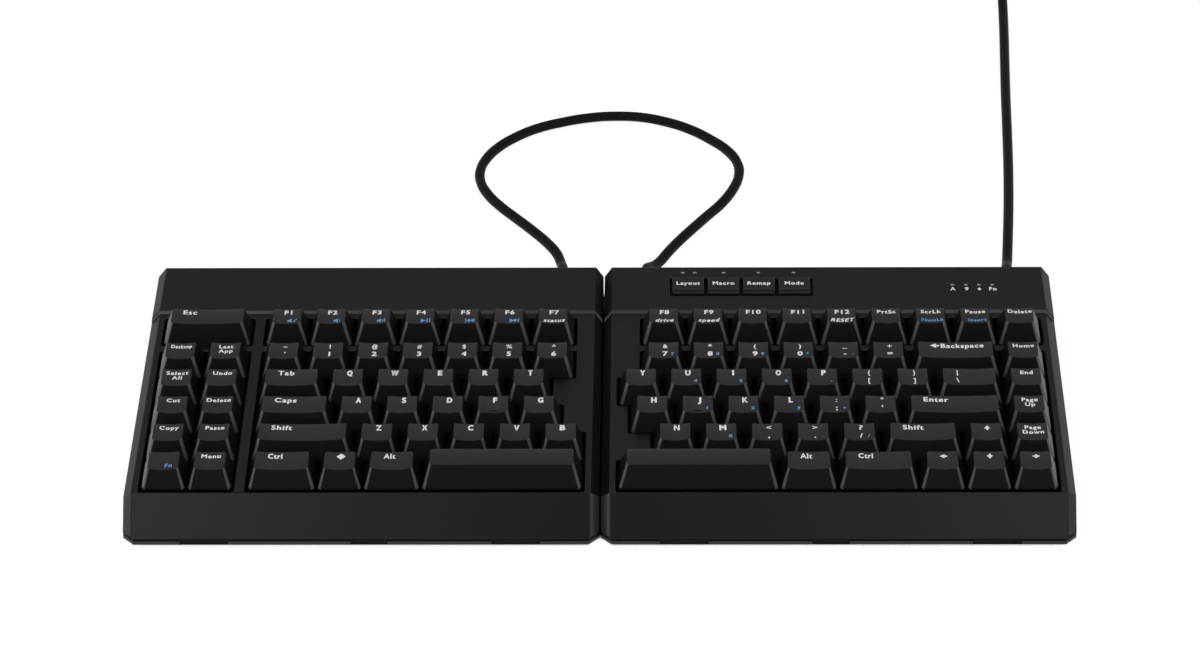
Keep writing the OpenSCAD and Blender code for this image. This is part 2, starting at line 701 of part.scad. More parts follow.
module usb_plug() {
    front = plug_y + plug_grip[1];
    color([0.08, 0.08, 0.08]) translate([plug_x - plug_grip[0] / 2, plug_y, plug_z - plug_grip[2] / 2])
        cube(plug_grip);
    color([0.7, 0.7, 0.72]) difference() {
        translate([plug_x - plug_shell[0] / 2, front, plug_z - plug_shell[2] / 2]) cube(plug_shell);
        translate([plug_x - plug_shell[0] / 2 + plug_wall, front + 1, plug_z - plug_shell[2] / 2 + plug_wall])
            cube([plug_shell[0] - 2 * plug_wall, plug_shell[1], plug_shell[2] - 2 * plug_wall]);
    }
    color([0.9, 0.9, 0.9]) translate([plug_x - plug_tongue[0] / 2, front + 1, plug_z]) cube(plug_tongue);
}

// The tie goes round all turns of the coil on the side away from the plug
module usb_tie() {
    inner = coil_centre[0] - coil_inner_r + cable_d / 2 + tie_clear;
    outer = coil_centre[0] - coil_outer_r - cable_d / 2 - tie_clear;
    bottom = coil_start[2] - cable_d / 2 - 0.2;
    top = coil_start[2] + coil_pitch + cable_d / 2 + tie_clear;
    color([0.1, 0.1, 0.1]) translate([0, coil_centre[1] - tie_width / 2, 0]) difference() {
        translate([outer - tie_thick, 0, bottom - tie_thick])
            cube([inner - outer + 2 * tie_thick, tie_width, top - bottom + 2 * tie_thick]);
        translate([outer, -1, bottom]) cube([inner - outer, tie_width + 2, top - bottom]);
    }
}

// Light windows: small bars flush with the forehead
module indicator_lights() {
    color([0.5, 0.5, 0.5]) for (p = LIGHTS) translate([p[0], p[1], forehead_z - top_wall - 1])
        linear_extrude(top_wall + 1) square(light_size, center = true);
}

// A layer button: a cap with a sloping front and a flange that keeps it under the forehead
module layer_button(i) {
    top = forehead_z + 0.8;
    slope = [1.7, 1];
    half = button_size[1] / 2;
    under = forehead_z - top_wall - 0.6;
    color([0.16, 0.16, 0.17]) translate([button_first_x + i * button_pitch, button_y, 0]) {
        rotate([90, 0, 90]) linear_extrude(button_size[0], center = true)
            polygon([[-half, under - 0.5], [half, under - 0.5], [half, top], [slope[0] - half, top],
                [-half, top - slope[1]]]);
        translate([-button_flange[0] / 2, -button_flange[1] / 2, under - 1])
            cube([button_flange[0], button_flange[1], 1]);
    }
}

// Block between slanted sides, front and back, the shape of a keycap: leans is [sides, front, back]
module cap_block(half_x, depth, leans, z0, z1, reach) {
    slope = leans[0] / cap_height;
    rise = (z1 - z0) / cap_height;
    intersection() {
        trapezoid(half_x + slope * 3, half_x - slope * (z1 - z0 + reach), z0 - 3, z1 + reach, 60);
        rotate([90, 0, 90]) linear_extrude(200, center = true)
            polygon([[-depth, z0], [depth, z0], [depth - leans[2] * rise, z1], [leans[1] * rise - depth, z1]]);
    }
}

// The same block with slanted cuts across its corners, wide ones in front and narrow ones at the back
module cornered_block(half_x, depth, leans, z0, z1, reach) {
    turn = sqrt(2);
    slope = (leans[0] + (leans[1] + leans[2]) / 2) / turn / cap_height;
    diagonal = (half_x + depth - (cap_corner + back_corner) / 2) / turn;
    low = diagonal + slope * 3;
    high = diagonal - slope * (z1 - z0 + reach);
    intersection() {
        cap_block(half_x, depth, leans, z0, z1, reach);
        between_diagonals((cap_corner - back_corner) / 2, low, high, z0 - 3, z1 + reach, 8 * half_x);
    }
}

module between_diagonals(shift, low, high, z0, z1, length) {
    translate([0, shift, 0]) intersection() {
        rotate([0, 0, 45]) trapezoid(low, high, z0, z1, length);
        rotate([0, 0, -45]) trapezoid(low, high, z0, z1, length);
    }
}

// One keycap at the origin: slanted block, dish, hollow and the post that grips the plunger
module cap(row, units) {
    bar = units >= 3;
    half = (units * pitch - cap_gap) / 2;
    depth = (pitch - cap_gap) / 2;
    top = skirt_z + cap_height + row_rise[row] + (bar ? bar_extra : 0);
    half_top = half - cap_lean;
    chord = half_top + 0.3;
    dish_r = (pow(chord, 2) + pow(dish_depth, 2)) / (2 * dish_depth);
    ceiling = skirt_z + cap_height + row_rise[row] - dish_depth - cap_roof;
    hollow_leans = [cap_lean, cap_lean + hollow_extra, cap_lean + back_extra];
    difference() {
        intersection() {
            cornered_block(half, depth, cap_leans(row, bar), skirt_z, top + 1, 1);
            if (bar)
                translate([0, bar_crest, top - bar_radius]) rotate([0, 90, 0])
                    cylinder(r = bar_radius, h = 200, center = true);
            else
                translate([0, 0, top]) rotate([row_tilt[row], 0, 0]) difference() {
                    translate([-100, -30, -30]) cube([200, 60, 30]);
                    translate([0, 0, dish_r - dish_depth]) rotate([90, 0, 0])
                        cylinder(r = dish_r, h = 100, center = true, $fn = 720);
                }
        }
        difference() {
            cap_block(half - cap_wall, depth - cap_wall, hollow_leans, skirt_z - 1, ceiling, 0);
            translate([0, 0, shoulder_z + post_gap]) cylinder(r = post_r, h = 20);
            if (units >= 2)
                for (side = [-1, 1]) translate([side * stem_offset(units), 0, 0])
                    linear_extrude(60) square(stem_size, center = true);
        }
        translate([0, 0, shoulder_z - 1]) linear_extrude(cross_height + 1.2) {
            square(cross_size + [2 * cross_clear, 2 * cross_clear], center = true);
            square([cross_size[1] + 2 * cross_clear, cross_size[0] + 2 * cross_clear], center = true);
        }
    }
    if (units >= 2)
        for (side = [-1, 1]) translate([side * stem_offset(units), 0, plunger_bottom])
            linear_extrude(skirt_z - plunger_bottom + 1) square(stem_size, center = true);
}

// Plunger of one switch: a block in the housing with a cross on top
module plunger() {
    translate([0, 0, plunger_bottom]) linear_extrude(shoulder_z - plunger_bottom)
        square(plunger_size, center = true);
    translate([0, 0, shoulder_z - 0.5]) linear_extrude(cross_height + 0.5) {
        square(cross_size, center = true);
        square([cross_size[1], cross_size[0]], center = true);
    }
}

module key_set(keys, origin) {
    for (key = keys) translate([key_x(origin, key), row_y(key[0]), 0]) {
        color([0.18, 0.18, 0.19]) cap(key[0], key[2]);
        color([0.35, 0.2, 0.1]) plunger();
    }
}

// Raised bar on the key under each pointing finger
homing_bar = [4, 0.7, 0.4];
module homing(key, origin) {
    color([0.18, 0.18, 0.19])
        translate([key_x(origin, key), row_y(key[0]) - 4, skirt_z + cap_height - dish_depth - cap_roof / 2])
            linear_extrude(cap_roof / 2 + homing_bar[2]) square([homing_bar[0], homing_bar[1]], center = true);
}

module escape_key() { key_set(ESCAPE, left_origin); }
module tab_key() { key_set(TAB, left_origin); }
module caps_key() { key_set(CAPS, left_origin); }
module left_shift_key() { key_set(LEFT_SHIFT, left_origin); }
module left_control_key() { key_set(LEFT_CONTROL, left_origin); }
module system_key() { key_set(SYSTEM, left_origin); }
module left_alt_key() { key_set(LEFT_ALT, left_origin); }
module left_space_bar() { key_set(LEFT_SPACE, left_origin); }
module left_function_keys() { key_set(LEFT_FUNCTION, left_origin); }
module left_number_keys() { key_set(LEFT_NUMBER, left_origin); }
module left_upper_letter_keys() { key_set(LEFT_UPPER, left_origin); }
module left_home_letter_keys() {
    key_set(LEFT_HOME, left_origin);
    homing(LEFT_HOME[3], left_origin);
}
module left_lower_letter_keys() { key_set(LEFT_LOWER, left_origin); }
module outer_hot_keys() { key_set(OUTER_HOT, left_origin); }
module inner_hot_keys() { key_set(INNER_HOT, left_origin); }
module backspace_key() { key_set(BACKSPACE, right_origin); }
module backslash_key() { key_set(BACKSLASH, right_origin); }
module enter_key() { key_set(ENTER, right_origin); }
module right_shift_key() { key_set(RIGHT_SHIFT, right_origin); }
module right_alt_key() { key_set(RIGHT_ALT, right_origin); }
module right_control_key() { key_set(RIGHT_CONTROL, right_origin); }
module right_space_bar() { key_set(RIGHT_SPACE, right_origin); }
module arrow_keys() { key_set(ARROWS, right_origin); }
module navigation_keys() { key_set(NAVIGATION, right_origin); }
module right_function_keys() { key_set(RIGHT_FUNCTION, right_origin); }
module right_number_keys() { key_set(RIGHT_NUMBER, right_origin); }
module right_upper_letter_keys() { key_set(RIGHT_UPPER, right_origin); }
module right_home_letter_keys() {
    key_set(RIGHT_HOME, right_origin);
    homing(RIGHT_HOME[1], right_origin);
}
module right_lower_letter_keys() { key_set(RIGHT_LOWER, right_origin); }
module layer_button_1() { layer_button(0); }
module layer_button_2() { layer_button(1); }
module layer_button_3() { layer_button(2); }
module layer_button_4() { layer_button(3); }

left_top_case();
left_bottom_case();
left_switch_plate();
left_circuit_board();
left_switches();
left_stabilisers();
left_feet();
left_screws();
left_link_gland();
right_top_case();
right_bottom_case();
right_switch_plate();
right_circuit_board();
right_switches();
right_stabilisers();
right_feet();
right_screws();
right_link_gland();
indicator_lights();
pivot_tether();
link_cable();
usb_gland();
usb_cable();
usb_coil();
usb_plug();
usb_tie();
escape_key();
tab_key();
caps_key();
left_shift_key();
left_control_key();
system_key();
left_alt_key();
left_space_bar();
left_function_keys();
left_number_keys();
left_upper_letter_keys();
left_home_letter_keys();
left_lower_letter_keys();
outer_hot_keys();
inner_hot_keys();
backspace_key();
backslash_key();
enter_key();
right_shift_key();
right_alt_key();
right_control_key();
right_space_bar();
arrow_keys();
navigation_keys();
right_function_keys();
right_number_keys();
right_upper_letter_keys();
right_home_letter_keys();
right_lower_letter_keys();
layer_button_1();
layer_button_2();
layer_button_3();
layer_button_4();
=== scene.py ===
"""A wired keyboard in two flat halves, with a cable between them and a USB cable, on a white table."""
import json
import math

import bmesh
import bpy
from mathutils import Matrix, Vector
from mathutils.bvhtree import BVHTree
from mathutils.geometry import interpolate_bezier

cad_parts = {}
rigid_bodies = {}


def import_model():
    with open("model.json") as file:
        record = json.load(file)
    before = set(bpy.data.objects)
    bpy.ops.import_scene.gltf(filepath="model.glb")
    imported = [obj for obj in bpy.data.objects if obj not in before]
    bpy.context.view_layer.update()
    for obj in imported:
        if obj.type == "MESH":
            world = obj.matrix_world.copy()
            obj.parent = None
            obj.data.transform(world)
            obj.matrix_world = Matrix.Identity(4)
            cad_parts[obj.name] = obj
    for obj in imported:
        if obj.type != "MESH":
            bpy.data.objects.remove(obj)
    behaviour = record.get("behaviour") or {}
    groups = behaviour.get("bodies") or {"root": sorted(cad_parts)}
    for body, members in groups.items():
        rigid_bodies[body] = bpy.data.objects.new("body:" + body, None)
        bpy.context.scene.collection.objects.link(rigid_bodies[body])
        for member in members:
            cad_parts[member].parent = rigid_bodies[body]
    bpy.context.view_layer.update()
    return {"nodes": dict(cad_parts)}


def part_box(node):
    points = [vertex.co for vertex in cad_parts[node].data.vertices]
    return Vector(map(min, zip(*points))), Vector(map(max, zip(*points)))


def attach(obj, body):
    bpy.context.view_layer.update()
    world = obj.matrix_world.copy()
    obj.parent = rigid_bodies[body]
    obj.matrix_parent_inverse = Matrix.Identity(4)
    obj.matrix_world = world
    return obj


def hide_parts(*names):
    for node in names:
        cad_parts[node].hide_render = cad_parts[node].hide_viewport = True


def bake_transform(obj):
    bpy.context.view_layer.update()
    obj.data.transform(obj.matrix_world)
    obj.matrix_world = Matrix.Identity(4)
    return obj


for leftover in list(bpy.data.objects):
    bpy.data.objects.remove(leftover)
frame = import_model()
scene = bpy.context.scene
MM = 0.001


# Camera: it stands in front of the keyboard and a little to the right, well above the table,
# and looks down on both halves through a long lens.
LENS = 128.238
CAMERA_PLACE = Vector((0.027156, -1.448063, 1.100608))
LOOK_DOWN = 0.627054
TURN_LEFT = 0.0191158
LEAN = -0.0124696

lens = bpy.data.cameras.new("camera")
lens.sensor_fit = "HORIZONTAL"
lens.sensor_width = 36
lens.lens = LENS
lens.clip_start = 0.05
camera = bpy.data.objects.new("camera", lens)
scene.collection.objects.link(camera)
camera.matrix_world = (
    Matrix.Translation(CAMERA_PLACE)
    @ Matrix.Rotation(TURN_LEFT, 4, "Z")
    @ Matrix.Rotation(math.pi / 2 - LOOK_DOWN, 4, "X")
    @ Matrix.Rotation(LEAN, 4, "Z")
)
scene.camera = camera
scene.view_settings.view_transform = "Standard"


# Studio: a white table under a wide overhead softbox, with low softboxes at its sides and high ones in front.
# The table shows plain white to the camera, keeps a faint shadow and has shade painted on it, black in the
# slit between the halves.
class Wire:
    """A socket in a material. Operators on it add Math nodes, and node() adds a node of any other kind."""

    def __init__(self, tree, socket=None):
        self.tree = tree
        self.socket = socket

    def node(self, kind, settings, sockets, out=0):
        made = self.tree.nodes.new(kind)
        for name, value in settings.items():
            setattr(made, name, value)
        for name, value in sockets.items():
            if isinstance(value, Wire):
                self.tree.links.new(value.socket, made.inputs[name])
            else:
                made.inputs[name].default_value = value
        return Wire(self.tree, made.outputs[out] if made.outputs else None)

    def maths(self, operation, first, second):
        return self.node("ShaderNodeMath", {"operation": operation}, {0: first, 1: second})

    def between(self, low, high):
        sockets = {"Value": self, "From Min": low, "From Max": high}
        return self.node("ShaderNodeMapRange", {}, sockets, "Result")

    def mix(self, first, second):
        sockets = {0: self, 6: first, 7: second}
        return self.node("ShaderNodeMix", {"data_type": "RGBA"}, sockets, 2)

    def into(self, shader, name):
        self.tree.links.new(self.socket, shader.inputs[name])

    def axis(self, name):
        return self.node("ShaderNodeSeparateXYZ", {}, {"Vector": self}, name)

    def noise(self, scale, detail):
        return self.node("ShaderNodeTexNoise", {}, {"Vector": self, "Scale": scale, "Detail": detail}, "Fac")

    def emboss(self, shader, strength, distance):
        bump = {"Strength": strength, "Distance": distance, "Height": self}
        self.node("ShaderNodeBump", {}, bump, "Normal").into(shader, "Normal")

    def __add__(self, other):
        return self.maths("ADD", self, other)

    def __radd__(self, other):
        return self.maths("ADD", other, self)

    def __sub__(self, other):
        return self.maths("SUBTRACT", self, other)

    def __rsub__(self, other):
        return self.maths("SUBTRACT", other, self)

    def __mul__(self, other):
        return self.maths("MULTIPLY", self, other)

    def __rmul__(self, other):
        return self.maths("MULTIPLY", other, self)


def ray_kinds(start):
    """Three values: 1 for rays from the camera, for glossy rays and for rays through clear things."""
    kinds = ("Is Camera Ray", "Is Glossy Ray", "Is Transmission Ray")
    return [start.node("ShaderNodeLightPath", {}, {}, kind) for kind in kinds]


TABLE_REACH = 4
TABLE_GLOW = 0.9
TABLE_GREY = (0.2, 0.2, 0.2, 1)
SLIT_PAINTED_SHADE = (0, 0, 0, 1)
SLIT_REACH = 0.02
SLIT_SIDE = (0.0012, 0.0018)
SLIT_BACK = (0.09, 0.094)
SLIT_FRONT = (0.078, 0.08)
SHADOW_FADE = (0, 0.08)
PLAIN_WHITE = (1, 1, 1, 1)
WALL_RISE = (0.1, 0.4)
ROOM_GREY = 0.3
ROOM_WHITE = 1

table_shape = bmesh.new()
bmesh.ops.create_grid(table_shape, x_segments=4, y_segments=4, size=TABLE_REACH)
table_mesh = bpy.data.meshes.new("table")
table_shape.to_mesh(table_mesh)
table_shape.free()
table = bpy.data.objects.new("table", table_mesh)
scene.collection.objects.link(table)
table_white = bpy.data.materials.new("table_white")
table_white.use_nodes = True
tree = table_white.node_tree
tree.nodes.clear()
start = Wire(tree)
rays, glossy, through = ray_kinds(start)
seen = rays.maths("MAXIMUM", rays.maths("MAXIMUM", rays, glossy), through)
place = start.node("ShaderNodeTexCoord", {}, {}, "Object")
across = place.axis("X")
along = place.axis("Y")
# Painted shadow: a strip of the table under the slit between the halves is painted black, where shade falls.
beside = across.maths("ABSOLUTE", across, 0).between(*SLIT_SIDE)
behind = along.between(*SLIT_BACK)
before = (-1 * along).between(*SLIT_FRONT)
outside_painted_slit_shade = beside.maths("MAXIMUM", beside, behind.maths("MAXIMUM", behind, before))
paint = start.node("ShaderNodeBsdfDiffuse", {}, {"Color": outside_painted_slit_shade.mix(SLIT_PAINTED_SHADE, TABLE_GREY)})
glow = start.node("ShaderNodeEmission", {}, {"Color": PLAIN_WHITE, "Strength": TABLE_GLOW})
lit = start.node("ShaderNodeAddShader", {}, {0: paint, 1: glow})
open_sky = start.node("ShaderNodeAmbientOcclusion", {"samples": 8}, {"Distance": SLIT_REACH}, "AO")
# Painted shade: the table's white is turned off where the halves close it in, and in the slit.
shown = seen * outside_painted_slit_shade * open_sky.between(*SHADOW_FADE)
top_layer = start.node("ShaderNodeMixShader", {}, {0: shown, 1: paint, 2: lit})
start.node("ShaderNodeOutputMaterial", {}, {"Surface": top_layer})
table_mesh.materials.append(table_white)

room = bpy.data.worlds.new("room")
scene.world = room
room.use_nodes = True
tree = room.node_tree
tree.nodes.clear()
start = Wire(tree)
rays, glossy, through = ray_kinds(start)
aim = start.node("ShaderNodeTexCoord", {}, {}, "Generated")
walls = (glossy + through) * (1 - aim.axis("Z").between(*WALL_RISE))
seen = rays.maths("MAXIMUM", rays, walls)
grey_room = start.node("ShaderNodeBackground", {}, {"Color": PLAIN_WHITE, "Strength": ROOM_GREY})
white_room = start.node("ShaderNodeBackground", {}, {"Color": PLAIN_WHITE, "Strength": ROOM_WHITE})
both = start.node("ShaderNodeMixShader", {}, {0: seen, 1: grey_room, 2: white_room})
start.node("ShaderNodeOutputWorld", {}, {"Surface": both})


def softbox(name, place, aim, width, height, brightness):
    """A soft rectangular lamp whose face has the same brightness whatever its size."""
    lamp = bpy.data.lights.new(name, "AREA")
    lamp.shape = "RECTANGLE"
    lamp.size = width
    lamp.size_y = height
    lamp.energy = brightness * math.pi * width * height
    stand = bpy.data.objects.new(name, lamp)
    stand.location = place
    stand.rotation_euler = (Vector(aim) - Vector(place)).to_track_quat("-Z", "Y").to_euler()
    stand.visible_camera = False
    scene.collection.objects.link(stand)


# Each lamp's name, its place, the point it shines at, its width, height and brightness
LAMPS = (
    ("overhead_softbox", (0, 0.75, 1.2), (0, 0.1, 0), 1.8, 0.9, 0.75),
    ("left_softbox", (-0.95, 0, 0.1), (0, 0, 0.03), 0.9, 0.2, 3),
    ("right_softbox", (0.95, 0, 0.1), (0, 0, 0.03), 0.9, 0.2, 1.5),
    ("front_left_softbox", (-0.75, -1.1, 1.45), (-0.1, -0.05, 0), 0.6, 0.5, 8.6),
    ("front_right_softbox", (0.78, -1.1, 1.45), (0.1, -0.05, 0), 0.6, 0.5, 8.4),
)
for lamp_row in LAMPS:
    softbox(*lamp_row)


# Link cable: a round soft PVC cable from one half to the other, which lies behind them in a loose loop.
# It is moulded into a boot at each end.
CABLE_D = 4.6
LYING = 2.35
BACK_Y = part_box("left_top_case")[1][1] / MM
LINK_ROUTE = [
    (-18.5, 9.5, 8), (-18.5, 10.7, 8), (-18.5, 11.9, 8), (-18.6, 15.4, 7.2), (-18.8, 19, 5.2),
    (-19.1, 22.6, 3.3),
    (-19.9, 27, LYING), (-21.8, 33.8, LYING), (-26.8, 43, LYING), (-33.9, 53, LYING), (-41.1, 62.2, LYING),
    (-48.6, 71.9, LYING), (-54.4, 81.5, LYING), (-57.9, 91.5, LYING), (-58.3, 101, LYING), (-56, 110, LYING),
    (-50.5, 120, LYING), (-42.5, 128.7, LYING), (-33, 135.8, LYING), (-21.5, 141, LYING),
    (-8.5, 144.9, LYING),
    (4, 146.2, LYING), (16, 145.1, LYING), (27.5, 141.1, LYING), (38, 135, LYING), (48.4, 125.6, LYING),
    (55.8, 116.5, LYING), (60.2, 106, LYING), (60.6, 96, LYING), (57.8, 85, LYING), (52.3, 73.2, LYING),
    (45.7, 63.3, LYING), (39.2, 53.4, LYING), (33, 43.6, LYING), (28, 34.7, LYING), (24.3, 27.4, LYING),
    (21.4, 22.6, 3.3), (19.5, 19, 5.2), (18.6, 15.4, 7.2), (18.5, 11.9, 8), (18.5, 10.7, 8), (18.5, 9.5, 8),
]


def cable(name, places):
    """A round cable along one smooth curve through the places, which are in millimetres."""
    line = bpy.data.curves.new(name, "CURVE")
    line.dimensions = "3D"
    line.resolution_u = 4
    line.bevel_depth = CABLE_D / 2 * MM
    line.bevel_resolution = 3
    line.use_fill_caps = True
    spline = line.splines.new("BEZIER")
    spline.bezier_points.add(len(places) - 1)
    for knot, place in zip(spline.bezier_points, places):
        knot.co = Vector(place) * MM
        knot.handle_left_type = "AUTO"
        knot.handle_right_type = "AUTO"
    piece = bpy.data.objects.new(name, line)
    scene.collection.objects.link(piece)
    bpy.context.view_layer.update()
    return piece


def centre_line(piece):
    """Points close together along a cable's middle."""
    knots = piece.data.splines[0].bezier_points
    points = [knots[0].co.copy()]
    for a, b in zip(knots, knots[1:]):
        points.extend(interpolate_bezier(a.co, a.handle_right, b.handle_left, b.co, 5)[1:])
    return points


def start_finish(name, fixed):
    """A new material: the material, its shader with the values that stay the same all over, and the place."""
    finish = bpy.data.materials.new(name)
    finish.use_nodes = True
    shader = finish.node_tree.nodes["Principled BSDF"]
    for socket, value in fixed.items():
        shader.inputs[socket].default_value = value
    place = Wire(finish.node_tree).node("ShaderNodeTexCoord", {}, {}, "Object")
    return finish, shader, place


def grey(value, blue=None):
    """A grey for a material, which can have a little more or less blue."""
    return value, value, value if blue is None else blue, 1


def soft_pvc(name, dark, light):
    """Dull extruded PVC with faint handling marks."""
    finish, shader, place = start_finish(name, {"Specular IOR Level": 0.1})
    marks = place.noise(scale=260, detail=4)
    marks.mix(dark, light).into(shader, "Base Color")
    (0.5 + 0.16 * marks).into(shader, "Roughness")
    place.noise(scale=2600, detail=2).emboss(shader, strength=0.08, distance=0.00005)
    return finish


cable_black = soft_pvc("cable_black", grey(0.0035), grey(0.007, 0.0073))
link_curve = cable("link_curve", [(x, BACK_Y + y, z) for x, y, z in LINK_ROUTE])
link_points = centre_line(link_curve)
finished_curve = link_curve.evaluated_get(bpy.context.evaluated_depsgraph_get())
link_mesh = bpy.data.meshes.new_from_object(finished_curve)
link_mesh.name = "link_lead"
bpy.data.objects.remove(link_curve)
link_lead = bpy.data.objects.new("link_lead", link_mesh)
scene.collection.objects.link(link_lead)
link_mesh.materials.clear()
link_mesh.materials.append(cable_black)
for face in link_mesh.polygons:
    face.use_smooth = True
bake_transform(link_lead)
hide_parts("link_cable")


# USB lead: the same cable runs straight back from the right half, and the length that isn't in use
# is wound in two layers behind it, in along the lower one and out along the upper one, to its plug.
USB_ROUTE = [
    (0, 9.5, 8), (0, 10.7, 8), (0, 11.9, 8), (0.1, 15.4, 7.2), (0.4, 19, 5.2), (0.7, 22.6, 3.3),
    (1.2, 27, LYING),
    (2.6, 43.5, LYING), (4.2, 63.5, LYING), (5.7, 85.5, LYING), (7, 108.5, LYING), (8.2, 134.5, LYING),
    (9.5, 164.5, LYING), (11, 194.5, LYING), (12.5, 224.5, LYING), (13.6, 254.5, 2.45), (14, 276, 2.95),
    (14, 288, 3.35), (14, 294, 3.35), (14, 300, 3.35),
]
USB_TAIL = [
    (14, 308, 8.9), (14, 314, 8.4), (14, 322, 6.2), (14, 330, 4.5), (14, 336, 4), (14, 338, 4), (14, 340, 4),
]
COIL_OUTER = 38.3
COIL_PITCH = 5.6
LAYER_TURNS = 4.25
CLIMB_TURNS = 0.5
POINTS_PER_TURN = 24
COIL_FLOOR = 3.35
COIL_X = 14
COIL_Y = 300
PLUG_Y = 340
PLUG_Z = 4

usb_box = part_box("usb_gland")
usb_x = (usb_box[0][0] + usb_box[1][0]) / 2 / MM
coil_middle = Vector((usb_x + COIL_X - COIL_OUTER, BACK_Y + COIL_Y + CABLE_D, COIL_FLOOR))


def coil_place(turn):
    """Where the coil is after so many turns: inwards, half a turn up, then outwards."""
    climb = min(max((turn - LAYER_TURNS) / CLIMB_TURNS, 0), 1)
    inwards = min(turn, LAYER_TURNS)
    outwards = max(turn - LAYER_TURNS - CLIMB_TURNS, 0)
    arm = Vector((COIL_OUTER - COIL_PITCH * (inwards - outwards), 0, COIL_PITCH * climb))
    return coil_middle + Matrix.Rotation(math.tau * turn, 3, "Z") @ arm


usb_places = [(usb_x + x, BACK_Y + y, z) for x, y, z in USB_ROUTE]
coil_steps = round((2 * LAYER_TURNS + CLIMB_TURNS) * POINTS_PER_TURN)
usb_places += [coil_place(step / POINTS_PER_TURN) for step in range(coil_steps + 1)]
usb_places += [(usb_x + x, BACK_Y + y, z) for x, y, z in USB_TAIL]
usb_lead = cable("usb_lead", usb_places)
usb_lead.data.materials.append(cable_black)
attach(usb_lead, "right_module")
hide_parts("usb_cable", "usb_coil")
usb_points = centre_line(usb_lead)


# USB plug: a stamped steel shell round a plastic tongue with four gilt contacts,
# with a soft grip moulded over its back end that tapers on to the cable.
GRIP = (16, 22, 8)
SHELL = (12, 12, 4.5)
SHELL_WALL = 0.35
TONGUE = (11, 9, 1.8)
GRIP_ROUND = 1.6
PLUG_AT = Vector((usb_x + COIL_X, BACK_Y + PLUG_Y, PLUG_Z))
GRIP_TAPER = ((0.78, -3), (0.8, -5))
SHELL_FLOOR = 1
CONTACT = (1.1, 6.5, 0.12)
CONTACTS_X = (-3.5, -1.2, 1.2, 3.5)
CONTACT_FORWARD = 0.8
CONTACT_SUNK = 0.05
LENGTHWAYS, UPWARDS = 1, 2
GRIP_PART, SHELL_PART, TONGUE_PART, CONTACT_PART = range(4)


def put_together(name, shape, finishes):
    """Makes a shape in millimetres into a piece."""
    bmesh.ops.scale(shape, vec=(MM, MM, MM), verts=shape.verts)
    mesh = bpy.data.meshes.new(name)
    shape.to_mesh(mesh)
    shape.free()
    for finish in finishes:
        mesh.materials.append(finish)
    piece = bpy.data.objects.new(name, mesh)
    scene.collection.objects.link(piece)
    return piece


def block(shape, size, middle):
    """Puts a box of that size in the shape, and gives its faces."""
    place = Matrix.Translation(middle) @ Matrix.Diagonal((*size, 1))
    corners = bmesh.ops.create_cube(shape, size=1, matrix=place)["verts"]
    return list({face for corner in corners for face in corner.link_faces})


def runs_along(edge, axis):
    """True for an edge that goes more than a millimetre along an axis."""
    return abs(edge.verts[0].co[axis] - edge.verts[1].co[axis]) > 1


def round_edges(shape, edges, radius, segments):
    """Rounds the edges, and gives the new faces."""
    made = bmesh.ops.bevel(
        shape, geom=edges, offset=radius, offset_type="OFFSET", segments=segments, profile=0.5,
        affect="EDGES", clamp_overlap=False, material=-1,
    )
    for face in made["faces"]:
        face.smooth = True
    return made["faces"]


def moulded_plastic(name, dark, light, rough, specular, grain, depth):
    """Moulded plastic with an eroded grain. Its colour and roughness wander a little."""
    finish, shader, place = start_finish(name, {"Specular IOR Level": specular})
    cloud = place.noise(scale=35, detail=4)
    fine = place.noise(scale=grain, detail=2)
    cloud.mix(dark, light).into(shader, "Base Color")
    (rough + 0.14 * (fine - 0.5) + 0.1 * (cloud - 0.5)).into(shader, "Roughness")
    fine.emboss(shader, strength=depth, distance=0.00006)
    return finish


def plated_metal(name, tint, rough):
    """Plated sheet metal, drawn along one way, with faint stains."""
    finish, shader, place = start_finish(name, {"Metallic": 1})
    drawn = place.node("ShaderNodeMapping", {}, {"Vector": place, "Scale": (6000, 300, 6000)})
    lines = drawn.noise(scale=1, detail=2)
    stain = place.noise(scale=180, detail=3)
    stain.mix(tuple(0.8 * c for c in tint[:3]) + (1,), tint).into(shader, "Base Color")
    (rough + 0.2 * (lines - 0.5) + 0.15 * (stain - 0.5)).into(shader, "Roughness")
    return finish


grip_black = moulded_plastic(
    "grip_black", grey(0.01), grey(0.017, 0.018), rough=0.5, specular=0.4, grain=1800, depth=0.25,
)
shell_steel = plated_metal("shell_steel", grey(0.62, 0.64), rough=0.3)
tongue_white = moulded_plastic(
    "tongue_white", grey(0.6, 0.58), grey(0.7, 0.68), rough=0.45, specular=0.5, grain=1500, depth=0.1,
)
contact_gold = plated_metal("contact_gold", (0.8, 0.58, 0.24, 1), rough=0.25)

plug_shape = bmesh.new()
block(plug_shape, GRIP, PLUG_AT + Vector((0, GRIP[1] / 2, 0)))
long_edges = [e for e in plug_shape.edges if runs_along(e, LENGTHWAYS)]
round_edges(plug_shape, long_edges, GRIP_ROUND, 4)
rear = min(plug_shape.faces, key=lambda f: f.calc_center_median().y)
for narrower, further in GRIP_TAPER:
    rear = bmesh.ops.extrude_discrete_faces(plug_shape, faces=[rear])["faces"][0]
    middle = rear.calc_center_median()
    bmesh.ops.translate(plug_shape, vec=(0, further, 0), verts=rear.verts)
    shrink = Matrix.Translation(-middle)
    bmesh.ops.scale(plug_shape, vec=(narrower, 1, narrower), space=shrink, verts=rear.verts)
for face in plug_shape.faces:
    face.smooth = False
shell_faces = block(plug_shape, SHELL, PLUG_AT + Vector((0, GRIP[1] + SHELL[1] / 2, 0)))
mouth = max(shell_faces, key=lambda f: f.calc_center_median().y)
bmesh.ops.inset_region(plug_shape, faces=[mouth], thickness=SHELL_WALL, use_even_offset=True)
floor = bmesh.ops.extrude_discrete_faces(plug_shape, faces=[mouth])["faces"][0]
